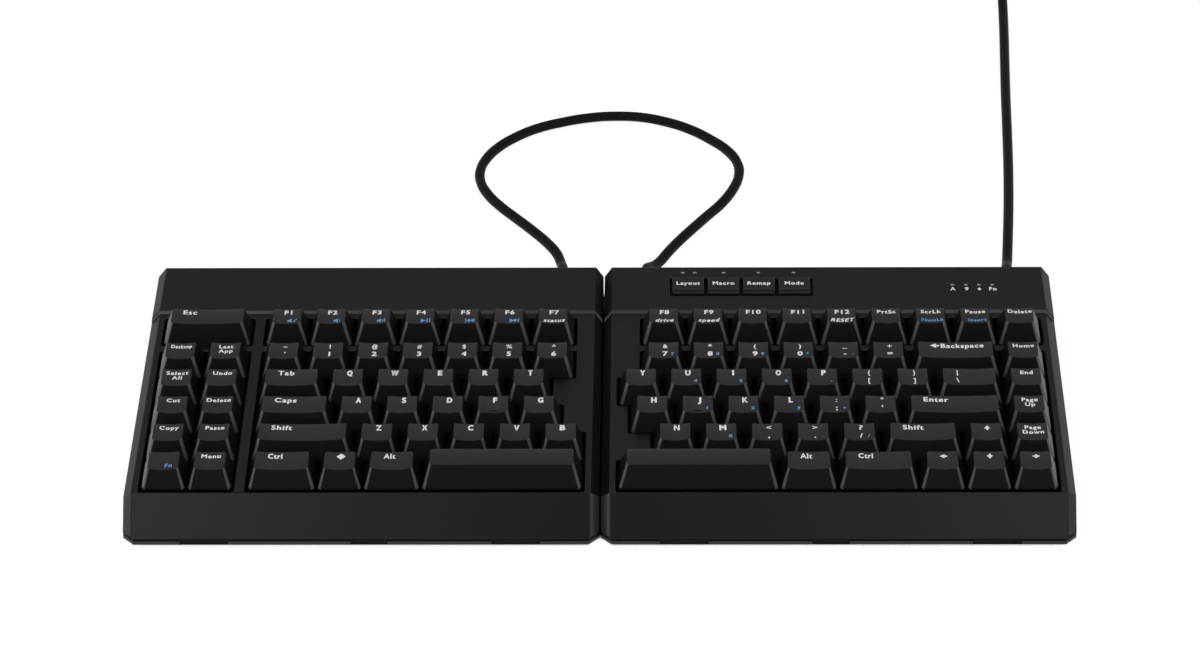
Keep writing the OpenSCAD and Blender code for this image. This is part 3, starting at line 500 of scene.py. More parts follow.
bmesh.ops.translate(plug_shape, vec=(0, SHELL_FLOOR - SHELL[1], 0), verts=floor.verts)
tongue_at = PLUG_AT + Vector((0, GRIP[1] + SHELL_FLOOR + TONGUE[1] / 2, TONGUE[2] / 2))
tongue_faces = block(plug_shape, TONGUE, tongue_at)
contact_faces = []
for contact_x in CONTACTS_X:
    contact_at = Vector((contact_x, CONTACT_FORWARD, -TONGUE[2] / 2 - CONTACT_SUNK))
    contact_faces += block(plug_shape, CONTACT, tongue_at + contact_at)
shell_front = PLUG_AT.y + GRIP[1]
for face in plug_shape.faces:
    if face.calc_center_median().y > shell_front:
        face.material_index = SHELL_PART
for face in tongue_faces:
    face.material_index = TONGUE_PART
for face in contact_faces:
    face.material_index = CONTACT_PART
grip_faces = [f for f in plug_shape.faces if f.material_index == GRIP_PART]
bmesh.ops.recalc_face_normals(plug_shape, faces=grip_faces)
lead_plug = put_together("lead_plug", plug_shape, [grip_black, shell_steel, tongue_white, contact_gold])
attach(lead_plug, "right_module")
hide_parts("usb_plug")


# Cable tie: a flat band of woven hook tape that goes round all the turns of the coil.
# Its corners are soft, because the tape only bends round the bundle.
TIE_ROUND = 1.2


def merged_copy(node):
    """A CAD piece's shape in millimetres, with its loose triangles joined into whole faces."""
    shape = bmesh.new()
    shape.from_mesh(frame["nodes"][node].data)
    bmesh.ops.scale(shape, vec=(1 / MM, 1 / MM, 1 / MM), verts=shape.verts)
    bmesh.ops.remove_doubles(shape, verts=shape.verts, dist=0.02)
    bmesh.ops.dissolve_degenerate(shape, edges=shape.edges, dist=0.001)
    bmesh.ops.dissolve_limit(shape, angle_limit=0.01, verts=shape.verts, edges=shape.edges)
    for face in shape.faces:
        face.smooth = False
    return shape


def woven_tape(name, dark, light):
    """Narrow woven tape: two sets of threads that cross."""
    finish, shader, place = start_finish(name, {"Specular IOR Level": 0.2})
    thread = {"Vector": place, "Scale": 900, "Distortion": 1}
    warp, weft = (
        place.node("ShaderNodeTexWave", {"wave_type": "BANDS", "bands_direction": way}, thread, "Fac")
        for way in ("X", "Y")
    )
    weave = warp * weft
    weave.mix(dark, light).into(shader, "Base Color")
    (0.95 - 0.2 * weave).into(shader, "Roughness")
    weave.emboss(shader, strength=0.5, distance=0.0001)
    return finish


tape_black = woven_tape("tape_black", grey(0.008), grey(0.03))
tie_shape = merged_copy("usb_tie")
bends = [e for e in tie_shape.edges if runs_along(e, LENGTHWAYS) and e.is_convex]
round_edges(tie_shape, bends, TIE_ROUND, 4)
coil_tie = put_together("coil_tie", tie_shape, [tape_black])
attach(coil_tie, "right_module")
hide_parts("usb_tie")


# Strain reliefs: three soft boots moulded on to the cables where they leave the back wall.
# A flange inside holds each in the wall, and rings cut in the taper let it bend.
BOOT_LENGTH = 9.5
BOOT_R = 3.6
BOOT_END_R = 2.8
NECK_R = 3
FLANGE = 2
TAPER_FROM = 2
RINGS = 4
FIRST_RING = 2.6
RING_STEP = 1.6
RING_DEPTH = 0.45
BOOT_Z = 8
BOOT_SEGMENTS = 32
boot_black = soft_pvc("boot_black", grey(0.0035), grey(0.006, 0.0063))
for node, body in (
    ("left_link_gland", "left_module"), ("right_link_gland", "right_module"), ("usb_gland", "right_module"),
):
    low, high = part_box(node)
    middle = Vector(((low[0] + high[0]) / 2 / MM, BACK_Y, BOOT_Z))
    inside = low[1] / MM - BACK_Y
    profile = [(0, inside), (BOOT_R, inside), (BOOT_R, inside + FLANGE)]
    profile += [(NECK_R, inside + FLANGE), (NECK_R, 0)]
    profile += [(BOOT_R - 0.2, 0), (BOOT_R, 0.2), (BOOT_R, TAPER_FROM)]
    for ring in range(RINGS):
        near = FIRST_RING + RING_STEP * ring
        radius = BOOT_R + (BOOT_END_R - BOOT_R) * (near - TAPER_FROM) / (BOOT_LENGTH - TAPER_FROM)
        profile += [(radius, near), (radius - RING_DEPTH, near + 0.15)]
        profile += [(radius - RING_DEPTH - 0.08, near + 0.75), (radius - 0.12, near + 0.9)]
    profile += [(BOOT_END_R, BOOT_LENGTH - 0.25), (BOOT_END_R - 0.2, BOOT_LENGTH), (0, BOOT_LENGTH)]
    boot_shape = bmesh.new()
    line = [boot_shape.verts.new(middle + Vector((radius, along, 0))) for radius, along in profile]
    edges = [boot_shape.edges.new(pair) for pair in zip(line, line[1:])]
    bmesh.ops.spin(
        boot_shape, geom=line + edges, cent=middle, axis=(0, 1, 0), angle=math.tau, steps=BOOT_SEGMENTS,
        use_merge=True,
    )
    bmesh.ops.remove_doubles(boot_shape, verts=boot_shape.verts, dist=0.001)
    bmesh.ops.recalc_face_normals(boot_shape, faces=boot_shape.faces)
    for face in boot_shape.faces:
        face.smooth = abs(face.normal.y) < 0.9
    boot = put_together(node.replace("gland", "boot"), boot_shape, [boot_black])
    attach(boot, body)
    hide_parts(node)


# Bottom cases: shallow trays of black ABS, moulded with a matt grain, that carry the feet and boards.
# Their outer edges are slightly rounded, and they close against the top cases in a fine seam.
TRAY_ROUND = 0.35
TRAY_SHARP = 0.35
TRAY_LONG = 3
tray_black = moulded_plastic(
    "tray_black", grey(0.015), grey(0.022, 0.0225), rough=0.5, specular=0.4, grain=1500, depth=0.3,
)
for side in ("left", "right"):
    node = side + "_bottom_case"
    tray_shape = merged_copy(node)
    outer = [
        e for e in tray_shape.edges
        if e.is_manifold and e.is_convex
        and e.calc_face_angle() > TRAY_SHARP and e.calc_length() > TRAY_LONG
    ]
    round_edges(tray_shape, outer, TRAY_ROUND, 2)
    tray = put_together(side + "_tray", tray_shape, [tray_black])
    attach(tray, side + "_module")
    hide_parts(node)


# Feet: round pads of soft rubber, glued in shallow recesses under each half.
# The edge of each pad is rounded, and a ring is moulded in the face that grips the table.
FOOT_ROUND = 0.5
FOOT_RING = (1.6, 0.5)
rubber_grey = moulded_plastic(
    "rubber_grey", grey(0.016), grey(0.03), rough=0.85, specular=0.2, grain=900, depth=0.5,
)
for side in ("left", "right"):
    node = side + "_feet"
    foot_shape = merged_copy(node)
    soles = [f for f in foot_shape.faces if f.normal.z < -0.9]
    rims = [e for f in soles for e in f.edges]
    round_edges(foot_shape, rims, FOOT_ROUND, 3)
    soles = [f for f in foot_shape.faces if f.normal.z < -0.99]
    bmesh.ops.inset_individual(foot_shape, faces=soles, thickness=FOOT_RING[0], use_even_offset=True)
    bmesh.ops.inset_individual(
        foot_shape, faces=soles, thickness=FOOT_RING[1], depth=-FOOT_RING[1], use_even_offset=True,
    )
    for face in foot_shape.faces:
        face.smooth = abs(face.normal.z) < 0.9
    pads = put_together(side + "_pads", foot_shape, [rubber_grey])
    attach(pads, side + "_module")
    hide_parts(node)


# Screws: zinc plated steel screws with square drives, sunk in the trays from below.
screw_zinc = plated_metal("screw_zinc", grey(0.5, 0.52), rough=0.38)


def finish_node(node, finish):
    """Gives a CAD piece that keeps its own shape its finish."""
    mesh = frame["nodes"][node].data
    mesh.materials.clear()
    mesh.materials.append(finish)


finish_node("left_screws", screw_zinc)
finish_node("right_screws", screw_zinc)


# Pivot tether: a flat strap of tough nylon under the back corners, with two posts pressed into the right half
# and one round post on which the left half turns. It can be taken off.
TETHER_ROUND = 0.3
TETHER_SHARP = 0.6
TETHER_LOW = 0.4
nylon_black = moulded_plastic(
    "nylon_black", grey(0.012), grey(0.02), rough=0.45, specular=0.45, grain=700, depth=0.15,
)
tether_shape = merged_copy("pivot_tether")
low_rim = [
    e for e in tether_shape.edges
    if e.is_convex and e.calc_face_angle() > TETHER_SHARP and max(v.co.z for v in e.verts) < TETHER_LOW
]
round_edges(tether_shape, low_rim, TETHER_ROUND, 2)
strap = put_together("tether_strap", tether_shape, [nylon_black])
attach(strap, "right_module")
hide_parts("pivot_tether")


# Circuit boards: glass fibre boards with a dark green solder mask over fine copper tracks.
def masked_board(name, mask, track):
    """Solder mask with the tracks showing through it, and a fine gloss."""
    finish, shader, place = start_finish(name, {"Specular IOR Level": 0.5})
    tracks = {
        "Vector": place, "Scale": 160, "Color1": grey(1), "Color2": grey(1), "Mortar": grey(0),
        "Mortar Size": 0.06, "Brick Width": 2.4, "Row Height": 0.35,
    }
    field = place.node("ShaderNodeTexBrick", {}, tracks, "Fac")
    cloud = place.noise(scale=300, detail=3)
    (field * 0.8 + cloud * 0.2).mix(mask, track).into(shader, "Base Color")
    (0.3 + 0.2 * cloud).into(shader, "Roughness")
    field.emboss(shader, strength=0.2, distance=0.00004)
    return finish


board_green = masked_board("board_green", (0.004, 0.03, 0.014, 1), (0.012, 0.08, 0.036, 1))
finish_node("left_circuit_board", board_green)
finish_node("right_circuit_board", board_green)


# Switch plates: steel sheet, punched for the switches and powder coated black.
plate_coat = moulded_plastic(
    "plate_coat", grey(0.003), grey(0.006), rough=0.7, specular=0.1, grain=1200, depth=0.5,
)
finish_node("left_switch_plate", plate_coat)
finish_node("right_switch_plate", plate_coat)


# Switches: nylon housings, each clipped into a square hole of the plate and soldered to the board.
housing_black = moulded_plastic(
    "housing_black", grey(0.004), grey(0.007), rough=0.6, specular=0.12, grain=900, depth=0.2,
)
finish_node("left_switches", housing_black)
finish_node("right_switches", housing_black)


# Stabilisers: acetal housings beside the switch of each long key, which keep its cap level.
guide_grey = moulded_plastic(
    "guide_grey", grey(0.006, 0.0065), grey(0.012, 0.013), rough=0.5, specular=0.2, grain=900, depth=0.15,
)
finish_node("left_stabilisers", guide_grey)
finish_node("right_stabilisers", guide_grey)


# Top cases: the black ABS shells that show round the keys, each with a raised strip at the back,
# a sloping front edge and bevelled outer edges. Screws from below pull them on to the trays.
CASE_ROUND = 0.3
case_black = moulded_plastic(
    "case_black", grey(0.0035), grey(0.0075, 0.008), rough=0.36, specular=0.155, grain=1500, depth=0.3,
)
# The rounded edges are lighter than the rest of the case: a painted highlight, with a little more gloss.
case_edge = moulded_plastic(
    "case_edge", grey(0.008), grey(0.012, 0.0125), rough=0.45, specular=0.22, grain=1500, depth=0.2,
)
# The sloping step at the back and the palm's edges by the slit: a glossier finish, with a painted highlight
# in their lighter colour.
case_step = moulded_plastic(
    "case_step", grey(0.01), grey(0.014, 0.0145), rough=0.38, specular=0.45, grain=1500, depth=0.2,
)
# The faces along the slit, on the low lip and in the button recess are darker and duller: painted shade.
case_joint = moulded_plastic(
    "case_joint", grey(0.003), grey(0.005), rough=0.55, specular=0.05, grain=1500, depth=0.3,
)


def plastic_painted_paler_outwards(name, dark, light, rough, specular, middle, end):
    """Moulded plastic with a painted highlight that makes it paler from the middle of the keyboard to its
    outer ends.
    """
    finish, shader, place = start_finish(name, {"Specular IOR Level": specular})
    across = place.axis("X")
    outward = across.maths("ABSOLUTE", across, 0).between(middle, end)
    cloud = place.noise(scale=35, detail=4)
    fine = place.noise(scale=1500, detail=2)
    (0.9 * outward + 0.1 * cloud).mix(dark, light).into(shader, "Base Color")
    (rough + 0.14 * (fine - 0.5)).into(shader, "Roughness")
    fine.emboss(shader, strength=0.3, distance=0.00006)
    return finish


case_palm = plastic_painted_paler_outwards(
    "case_palm", grey(0.0015), grey(0.0135, 0.014), rough=0.36, specular=0.17, middle=0, end=0.19,
)
CASE, CASE_EDGE_HIGHLIGHT, STEP_HIGHLIGHT, JOINT_SHADE, PALM = range(5)
JOINT_REACH = 4.5
JOINT_FRONT = -74
LIP_TOP = 4.6
RECESS_SIDES = (28, 92)
RECESS_FRONT = 58
RECESS_DEPTH = 0.1
STEEP = 0.4
TILTED = 0.3
PALM_SLOPE = 0.5
SHARP = 0.3
FACES_DOWN = -0.4


def faces_out(edge):
    """True for a convex edge that shows from above."""
    if not edge.is_manifold or not edge.is_convex or edge.calc_face_angle() < SHARP:
        return False
    return min(face.normal.z for face in edge.link_faces) > FACES_DOWN


def case_finish(face, rounded, case_top):
    """Which finish a face of a top case has; some faces get painted shade or a painted highlight."""
    normal = face.normal
    middle = face.calc_center_median()
    by_slit = abs(middle.x) < JOINT_REACH
    in_recess = middle.y > RECESS_FRONT and RECESS_SIDES[0] < middle.x < RECESS_SIDES[1]
    # Painted shade along the slit, on the low lip and in the button recess.
    if by_slit and abs(normal.x) > STEEP and middle.y > JOINT_FRONT:
        return JOINT_SHADE
    if middle.z < LIP_TOP and abs(normal.z) < STEEP:
        return JOINT_SHADE
    if in_recess and middle.z < case_top - RECESS_DEPTH:
        return JOINT_SHADE
    # Painted highlight on the step at the back and on the palm's edges beside the slit.
    if middle.y > 0 and normal.y < -TILTED and normal.z > TILTED:
        return STEP_HIGHLIGHT
    if by_slit and abs(normal.x) > TILTED and middle.y < JOINT_FRONT:
        return STEP_HIGHLIGHT
    # Painted highlight on the rounded edges.
    if face in rounded:
        return CASE_EDGE_HIGHLIGHT
    # Painted highlight on the palm slope, growing towards the outer ends.
    if middle.y < JOINT_FRONT and normal.y < -PALM_SLOPE and normal.z > PALM_SLOPE:
        return PALM
    return CASE


for side in ("left", "right"):
    node = side + "_top_case"
    case_shape = merged_copy(node)
    bmesh.ops.remove_doubles(case_shape, verts=case_shape.verts, dist=0.12)
    shown = [e for e in case_shape.edges if faces_out(e)]
    rounded = set(round_edges(case_shape, shown, CASE_ROUND, 2))
    case_top = max(v.co.z for v in case_shape.verts)
    for face in case_shape.faces:
        face.material_index = case_finish(face, rounded, case_top)
    case = put_together(side + "_case", case_shape, [case_black, case_edge, case_step, case_joint, case_palm])
    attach(case, side + "_module")
    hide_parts(node)


# Layer buttons: four small push buttons of the case's plastic on the right half,
# each with a sloping front and its word printed in white.
BUTTON_WORDS = ("Layout", "Macro", "Remap", "Mode")
BUTTON_ROUND = 0.3
WORD_HEIGHT = 2.25
WORD_FORWARD = 0.4
WORD_ROOM = 11
CAPITAL = 0.682
BOLD = 0.05
LETTER_GAP = 1.16
PRINT_LIFT = 0.03
PRINT_FROM = 60
BUTTON_EDGE_HIGHLIGHT, BUTTON_WORD = 1, 2
white_print = moulded_plastic(
    "white_print", grey(0.84), grey(0.93), rough=0.6, specular=0.2, grain=1200, depth=0.1,
)
button_black = moulded_plastic(
    "button_black", grey(0.007), grey(0.011, 0.0115), rough=0.45, specular=0.2, grain=1500, depth=0.3,
)
# The buttons' rounded edges are lighter: a painted highlight, with a little more gloss.
button_edge = moulded_plastic(
    "button_edge", grey(0.014), grey(0.02, 0.021), rough=0.45, specular=0.3, grain=1500, depth=0.2,
)


def lettering(words, height, slant=0):
    """Words as a flat mesh in millimetres, with the first line's foot on the X axis."""
    text = bpy.data.curves.new("words", "FONT")
    text.body = words
    text.size = height / CAPITAL
    text.space_character = LETTER_GAP
    text.shear = slant
    text.resolution_u = 3
    holder = bpy.data.objects.new("words", text)
    mesh = bpy.data.meshes.new_from_object(holder)
    bpy.data.objects.remove(holder)
    bpy.data.curves.remove(text)
    return mesh


def widen(flat, rim):
    """Makes the strokes of a flat mesh wider by a rim all round them."""
    outward = {}
    sides = []
    for edge in flat.edges:
        if len(edge.link_faces) == 1:
            loop = edge.link_loops[0]
            first, second = loop.vert, loop.link_loop_next.vert
            along = (second.co - first.co).normalized() * (1 if loop.face.normal.z > 0 else -1)
            out = Vector((along.y, -along.x, 0))
            sides.append((first, second))
            for vert in (first, second):
                outward.setdefault(vert, []).append(out)
    rims = {}
    for vert, directions in outward.items():
        mean = sum(directions, Vector()) / len(directions)
        rims[vert] = flat.verts.new(vert.co + mean * rim / max(mean.length_squared, 0.5))
    for first, second in sides:
        flat.faces.new((second, first, rims[first], rims[second]))
    flat.normal_update()


def print_on(shape, carrier, mesh, middle, limit, anchor, finish, width=None, rim=0):
    """Lays a flat mesh on its carrier, from its middle or left end, as wide as asked or within the limit."""
    flat = bmesh.new()
    flat.from_mesh(mesh)
    bpy.data.meshes.remove(mesh)
    bmesh.ops.triangulate(flat, faces=flat.faces)
    bmesh.ops.remove_doubles(flat, verts=flat.verts, dist=0.002)
    left = min(v.co.x for v in flat.verts)
    right = max(v.co.x for v in flat.verts)
    if width:
        squeeze = (width - 2 * rim) / (right - left)
    else:
        squeeze = min(1, (limit - 2 * rim) / (right - left))
    pin = left if anchor == "left" else (left + right) / 2
    for vert in flat.verts:
        vert.co.x = (vert.co.x - pin) * squeeze
    if rim:
        widen(flat, rim)
    copies = {}
    for vert in flat.verts:
        x = middle[0] + vert.co.x
        y = middle[1] + vert.co.y
        hit = carrier.ray_cast(Vector((x, y, PRINT_FROM)), Vector((0, 0, -1)))[0]
        copies[vert] = shape.verts.new(Vector((x, y, hit.z + PRINT_LIFT)))
    for face in flat.faces:
        corners = [copies[v] for v in face.verts]
        if face.normal.z < 0:
            corners.reverse()
        made = shape.faces.new(corners)
        made.material_index = finish
    flat.free()


for number, word in enumerate(BUTTON_WORDS, 1):
    node = "layer_button_%d" % number
    button_shape = merged_copy(node)
    shown = [e for e in button_shape.edges if faces_out(e)]
    for face in round_edges(button_shape, shown, BUTTON_ROUND, 2):
        face.material_index = BUTTON_EDGE_HIGHLIGHT
    carrier = BVHTree.FromBMesh(button_shape)
    low, high = (Vector(corner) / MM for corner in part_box(node))
    middle = ((low.x + high.x) / 2, (low.y + high.y) / 2 - WORD_FORWARD)
    mesh = lettering(word, WORD_HEIGHT)
    rim = BOLD * WORD_HEIGHT
    print_on(button_shape, carrier, mesh, middle, WORD_ROOM, "middle", BUTTON_WORD, rim=rim)
    button = put_together("button_%d" % number, button_shape, [button_black, button_edge, white_print])
    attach(button, node)
    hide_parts(node)


# Light windows: nine small bars of clear grey plastic pressed into the right half,
# with the marks of the four on the right printed in front of them.
LIGHT_ROUND = 0.42
LIGHT_MARKS = ((151.9, "A"), (157.9, "9"), (163.4, "down"), (169.2, "Fn"))
MARK_FORWARD = 3.85
MARKS_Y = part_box("indicator_lights")[0][1] / MM - MARK_FORWARD
MARK_HEIGHT = 2.2
MARK_ROOM = 5
MARK_PRINT = 0
ARROW_RAISE = 0.85
STRIP_REACH = 300
ARROW = [
    (-0.14, -0.5), (0.14, -0.5), (0.14, -0.17), (0.43, -0.17), (0, 0.5), (-0.43, -0.17), (-0.14, -0.17),
]


def clear_plastic(name, dark, light):
    """Cloudy clear plastic, unlit, with a thin shiny coat."""
    finish, shader, place = start_finish(name, {"Specular IOR Level": 0.5, "Coat Weight": 0.3})
    cloud = place.noise(scale=700, detail=3)
    cloud.mix(dark, light).into(shader, "Base Color")
    (0.25 + 0.2 * cloud).into(shader, "Roughness")
    return finish


window_grey = clear_plastic("window_grey", grey(0.26, 0.265), grey(0.4, 0.41))
window_shape = merged_copy("indicator_lights")
upright = [e for e in window_shape.edges if runs_along(e, UPWARDS)]
round_edges(window_shape, upright, LIGHT_ROUND, 4)
windows = put_together("light_windows", window_shape, [window_grey])
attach(windows, "right_module")
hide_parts("indicator_lights")


def sign(outlines, size, turn=0):
    """A small flat sign from its outlines, turned by quarter turns and scaled to a size."""
    flat = bmesh.new()
    for outline in outlines:
        flat.faces.new([flat.verts.new((x, y, 0)) for x, y in outline])
    quarter = Matrix.Rotation(turn * math.pi / 2, 4, "Z")
    bmesh.ops.transform(flat, matrix=quarter @ Matrix.Scale(size, 4), verts=flat.verts)
    bmesh.ops.recalc_face_normals(flat, faces=flat.faces)
    mesh = bpy.data.meshes.new("sign")
    flat.to_mesh(mesh)
    flat.free()
    return mesh


top_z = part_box("right_top_case")[1][2] / MM
strip = bmesh.new()
strip_at = Matrix.Translation((0, 0, top_z))
bmesh.ops.create_grid(strip, x_segments=1, y_segments=1, size=STRIP_REACH, matrix=strip_at)
flat_strip = BVHTree.FromBMesh(strip)
strip.free()
mark_shape = bmesh.new()
for x, mark in LIGHT_MARKS:
    if mark == "down":
        mesh = sign([ARROW], MARK_HEIGHT, 2)
        print_on(mark_shape, flat_strip, mesh, (x, MARKS_Y + ARROW_RAISE), MARK_ROOM, "middle", MARK_PRINT)
    else:
        mesh = lettering(mark, MARK_HEIGHT)
        rim = BOLD * MARK_HEIGHT
        print_on(mark_shape, flat_strip, mesh, (x, MARKS_Y), MARK_ROOM, "middle", MARK_PRINT, rim=rim)
marks = put_together("light_marks", mark_shape, [white_print])
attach(marks, "right_module")


# Keys: hollow ABS caps with a dished top, each pressed on the cross of its switch's plunger.
# The words are printed on top in white, and most second functions in blue.
CAP_ROUND = 0.22
LEAN_IN = 2.8
PLUNGER_TOP = 23.5
CAP_FOOT = 19
CAP_LEAST = 10
SMALL_KEY = 22
OUTER_X = 170
ROUND_CORNER = 0.15
ROUND_TOP = 0.6
TOP_RISE = 0.8
CORNER = 0.2
CORNER_RISE = 0.3
# One cap plastic in a lit copy for the tops and a darker shaded copy for the fronts and sides: painted light
# and shade.
cap_top = moulded_plastic(
    "cap_top", grey(0.0135), grey(0.0175, 0.018), rough=0.5, specular=0.24, grain=1700, depth=0.35,
)
cap_side_shade = moulded_plastic(
    "cap_side_shade", grey(0.005), grey(0.0075, 0.0078), rough=0.55, specular=0.09, grain=1700, depth=0.3,
)
# The corner facets and rounded corners are much lighter: a painted highlight, with a glossier finish.
cap_edge_highlight = moulded_plastic(
    "cap_edge_highlight", grey(0.032), grey(0.042, 0.0425), rough=0.38, specular=0.5, grain=1700, depth=0.2,
)
plunger_brown = moulded_plastic(
    "plunger_brown", (0.07, 0.03, 0.012, 1), (0.1, 0.045, 0.02, 1),
    rough=0.4, specular=0.45, grain=900, depth=0.1,
)
blue_print = moulded_plastic(
    "blue_print", (0.13, 0.3, 0.58, 1), (0.18, 0.37, 0.68, 1), rough=0.6, specular=0.2, grain=1200, depth=0.1,
)
# The outer flanks of the outermost columns: the sides' painted shade, with a sheen.
cap_flank = moulded_plastic(
    "cap_flank", grey(0.005), grey(0.0075, 0.0078), rough=0.55, specular=0.09, grain=1700, depth=0.3,
)
flank_inputs = cap_flank.node_tree.nodes["Principled BSDF"].inputs
flank_inputs["Sheen Weight"].default_value = 1
flank_inputs["Sheen Roughness"].default_value = 0.3
CAP_FINISHES = [cap_top, cap_side_shade, cap_edge_highlight, plunger_brown, white_print, blue_print, cap_flank]
TOP, SIDE, EDGE, PLUNGER, WHITE, BLUE, FLANK = range(7)

SPEAKER = [(-0.5, -0.16), (-0.3, -0.16), (-0.06, -0.4), (-0.06, 0.4), (-0.3, 0.16), (-0.5, 0.16)]
NEAR_WAVE = [(0.06, -0.2), (0.15, -0.2), (0.15, 0.2), (0.06, 0.2)]
FAR_WAVE = [(0.26, -0.32), (0.35, -0.32), (0.35, 0.32), (0.26, 0.32)]
CROSSED = [(0.06, -0.22), (0.14, -0.3), (0.5, 0.22), (0.42, 0.3)]
TRIANGLE = [(-0.45, -0.35), (0.05, 0), (-0.45, 0.35)]
SECOND_TRIANGLE = [(0, -0.35), (0.4, 0), (0, 0.35)]
END_BAR = [(0.4, -0.35), (0.5, -0.35), (0.5, 0.35), (0.4, 0.35)]
PAUSE_BAR = [(0.15, -0.35), (0.26, -0.35), (0.26, 0.35), (0.15, 0.35)]
DIAMOND = [(-0.5, 0), (0, -0.5), (0.5, 0), (0, 0.5)]
SIGNS = {
    "mute": ([SPEAKER, CROSSED], 0), "quieter": ([SPEAKER, NEAR_WAVE], 0),
    "louder": ([SPEAKER, NEAR_WAVE, FAR_WAVE], 0), "play": ([TRIANGLE, PAUSE_BAR, END_BAR], 0),
    "next": ([TRIANGLE, SECOND_TRIANGLE, END_BAR], 0), "back": ([TRIANGLE, SECOND_TRIANGLE, END_BAR], 2),
    "up": ([ARROW], 0), "left": ([ARROW], 1), "down": ([ARROW], 2), "right": ([ARROW], 3),
    "diamond": ([DIAMOND], 0),
}

SLANTED = ("status", "drive", "speed", "RESET")
LETTER_WIDTH = 2.35
LETTER_BOLD = 0.065
SIGN_BOLD = 0.035
UPPER_Y = 3.1
LOWER_Y = -2.3
SECOND_Y = -3.1
LINE_STEP = 3.2
LETTER_X = 0.7
LONG_LETTER_X = 5.9
LONG_WORD_X = 5.2
PRINT_WIDTHS = {
    "W": 3.1, "M": 2.9, "I": 0.85, "J": 1.5, "L": 1.75, "F": 1.75, "T": 1.9, "E": 1.95, "P": 2, "S": 1.95,
    "@": 2.4, "~": 1.7, "#": 1.9, "$": 1.6, "&": 2.1, "{": 1, "}": 1, "[": 0.9, "]": 0.9, "?": 1.7,
    "Ctrl": 6, "Alt": 4.9, "Desktop": 8.9, "Backspace": 18.2,
}

# Each key's words from the back row to the front and from left to right: upper, lower, and second function
KEYS = {
    "escape_key": [("Esc",)],
    "left_function_keys": [
        ("F1", "", "mute"), ("F2", "", "quieter"), ("F3", "", "louder"), ("F4", "", "play"),
        ("F5", "", "back"), ("F6", "", "next"), ("F7", "", "status"),
    ],
    "right_function_keys": [
        ("F8", "", "drive"), ("F9", "", "speed"), ("F10",), ("F11",), ("F12", "", "RESET"), ("PrtSc",),
        ("ScrLk", "", "NumLk"), ("Pause", "", "Insert"), ("Delete",),
    ],
    "left_number_keys": [("~", "`"), ("!", "1"), ("@", "2"), ("#", "3"), ("$", "4"), ("%", "5"), ("^", "6")],
    "right_number_keys": [
        ("&", "7", "7"), ("*", "8", "8"), ("(", "9", "9"), (")", "0", "*"), ("_", "-", "-"), ("+", "="),
    ],
    "backspace_key": [("left Backspace",)],
    "tab_key": [("Tab",)],
    "left_upper_letter_keys": [("Q",), ("W",), ("E",), ("R",), ("T",)],
    "right_upper_letter_keys": [
        ("Y",), ("U", "", "4"), ("I", "", "5"), ("O", "", "6"), ("P", "", "-"), ("{", "["), ("}", "]"),
    ],
    "backslash_key": [("|", "\\")],
    "caps_key": [("Caps",)],
    "left_home_letter_keys": [("A",), ("S",), ("D",), ("F",), ("G",)],
    "right_home_letter_keys": [
        ("H",), ("J", "", "1"), ("K", "", "2"), ("L", "", "3"), (":", ";", "+"), ('"', "'"),
    ],
    "enter_key": [("Enter",)],
    "left_shift_key": [("Shift",)],
    "left_lower_letter_keys": [("Z",), ("X",), ("C",), ("V",), ("B",)],
    "right_lower_letter_keys": [("N",), ("M", "", "0"), ("<", ","), (">", ".", "."), ("?", "/", "/")],
    "right_shift_key": [("Shift",)],
    "left_control_key": [("Ctrl",)],
    "system_key": [("diamond",)],
    "left_alt_key": [("Alt",)],
    "left_space_bar": [()],
    "right_space_bar": [()],
    "right_alt_key": [("Alt",)],
    "right_control_key": [("Ctrl",)],
    "outer_hot_keys": [("Desktop",), ("Select All",), ("Cut",), ("Copy",), ("", "", "Fn")],
    "inner_hot_keys": [("Last App",), ("Undo",), ("Delete",), ("Paste",), ("Menu",)],
    "navigation_keys": [("Home",), ("End",), ("Page Up",), ("Page Down",)],
    "arrow_keys": [("up",), ("left",), ("down",), ("right",)],
}


def islands(shape):
    """The separate solids of a shape, each as a list of its faces."""
    left = set(shape.faces)
    found = []
    while left:
        queue = [left.pop()]
        island = []
        while queue:
            face = queue.pop()
            island.append(face)
            for edge in face.edges:
                for other in edge.link_faces:
                    if other in left:
                        left.remove(other)
                        queue.append(other)
        found.append(island)
    return found


def print_weight(mark):
    """How much of its height a word's or mark's strokes are widened by."""
    if not mark.isalnum():
        return SIGN_BOLD
    return LETTER_BOLD if len(mark) == 1 else BOLD


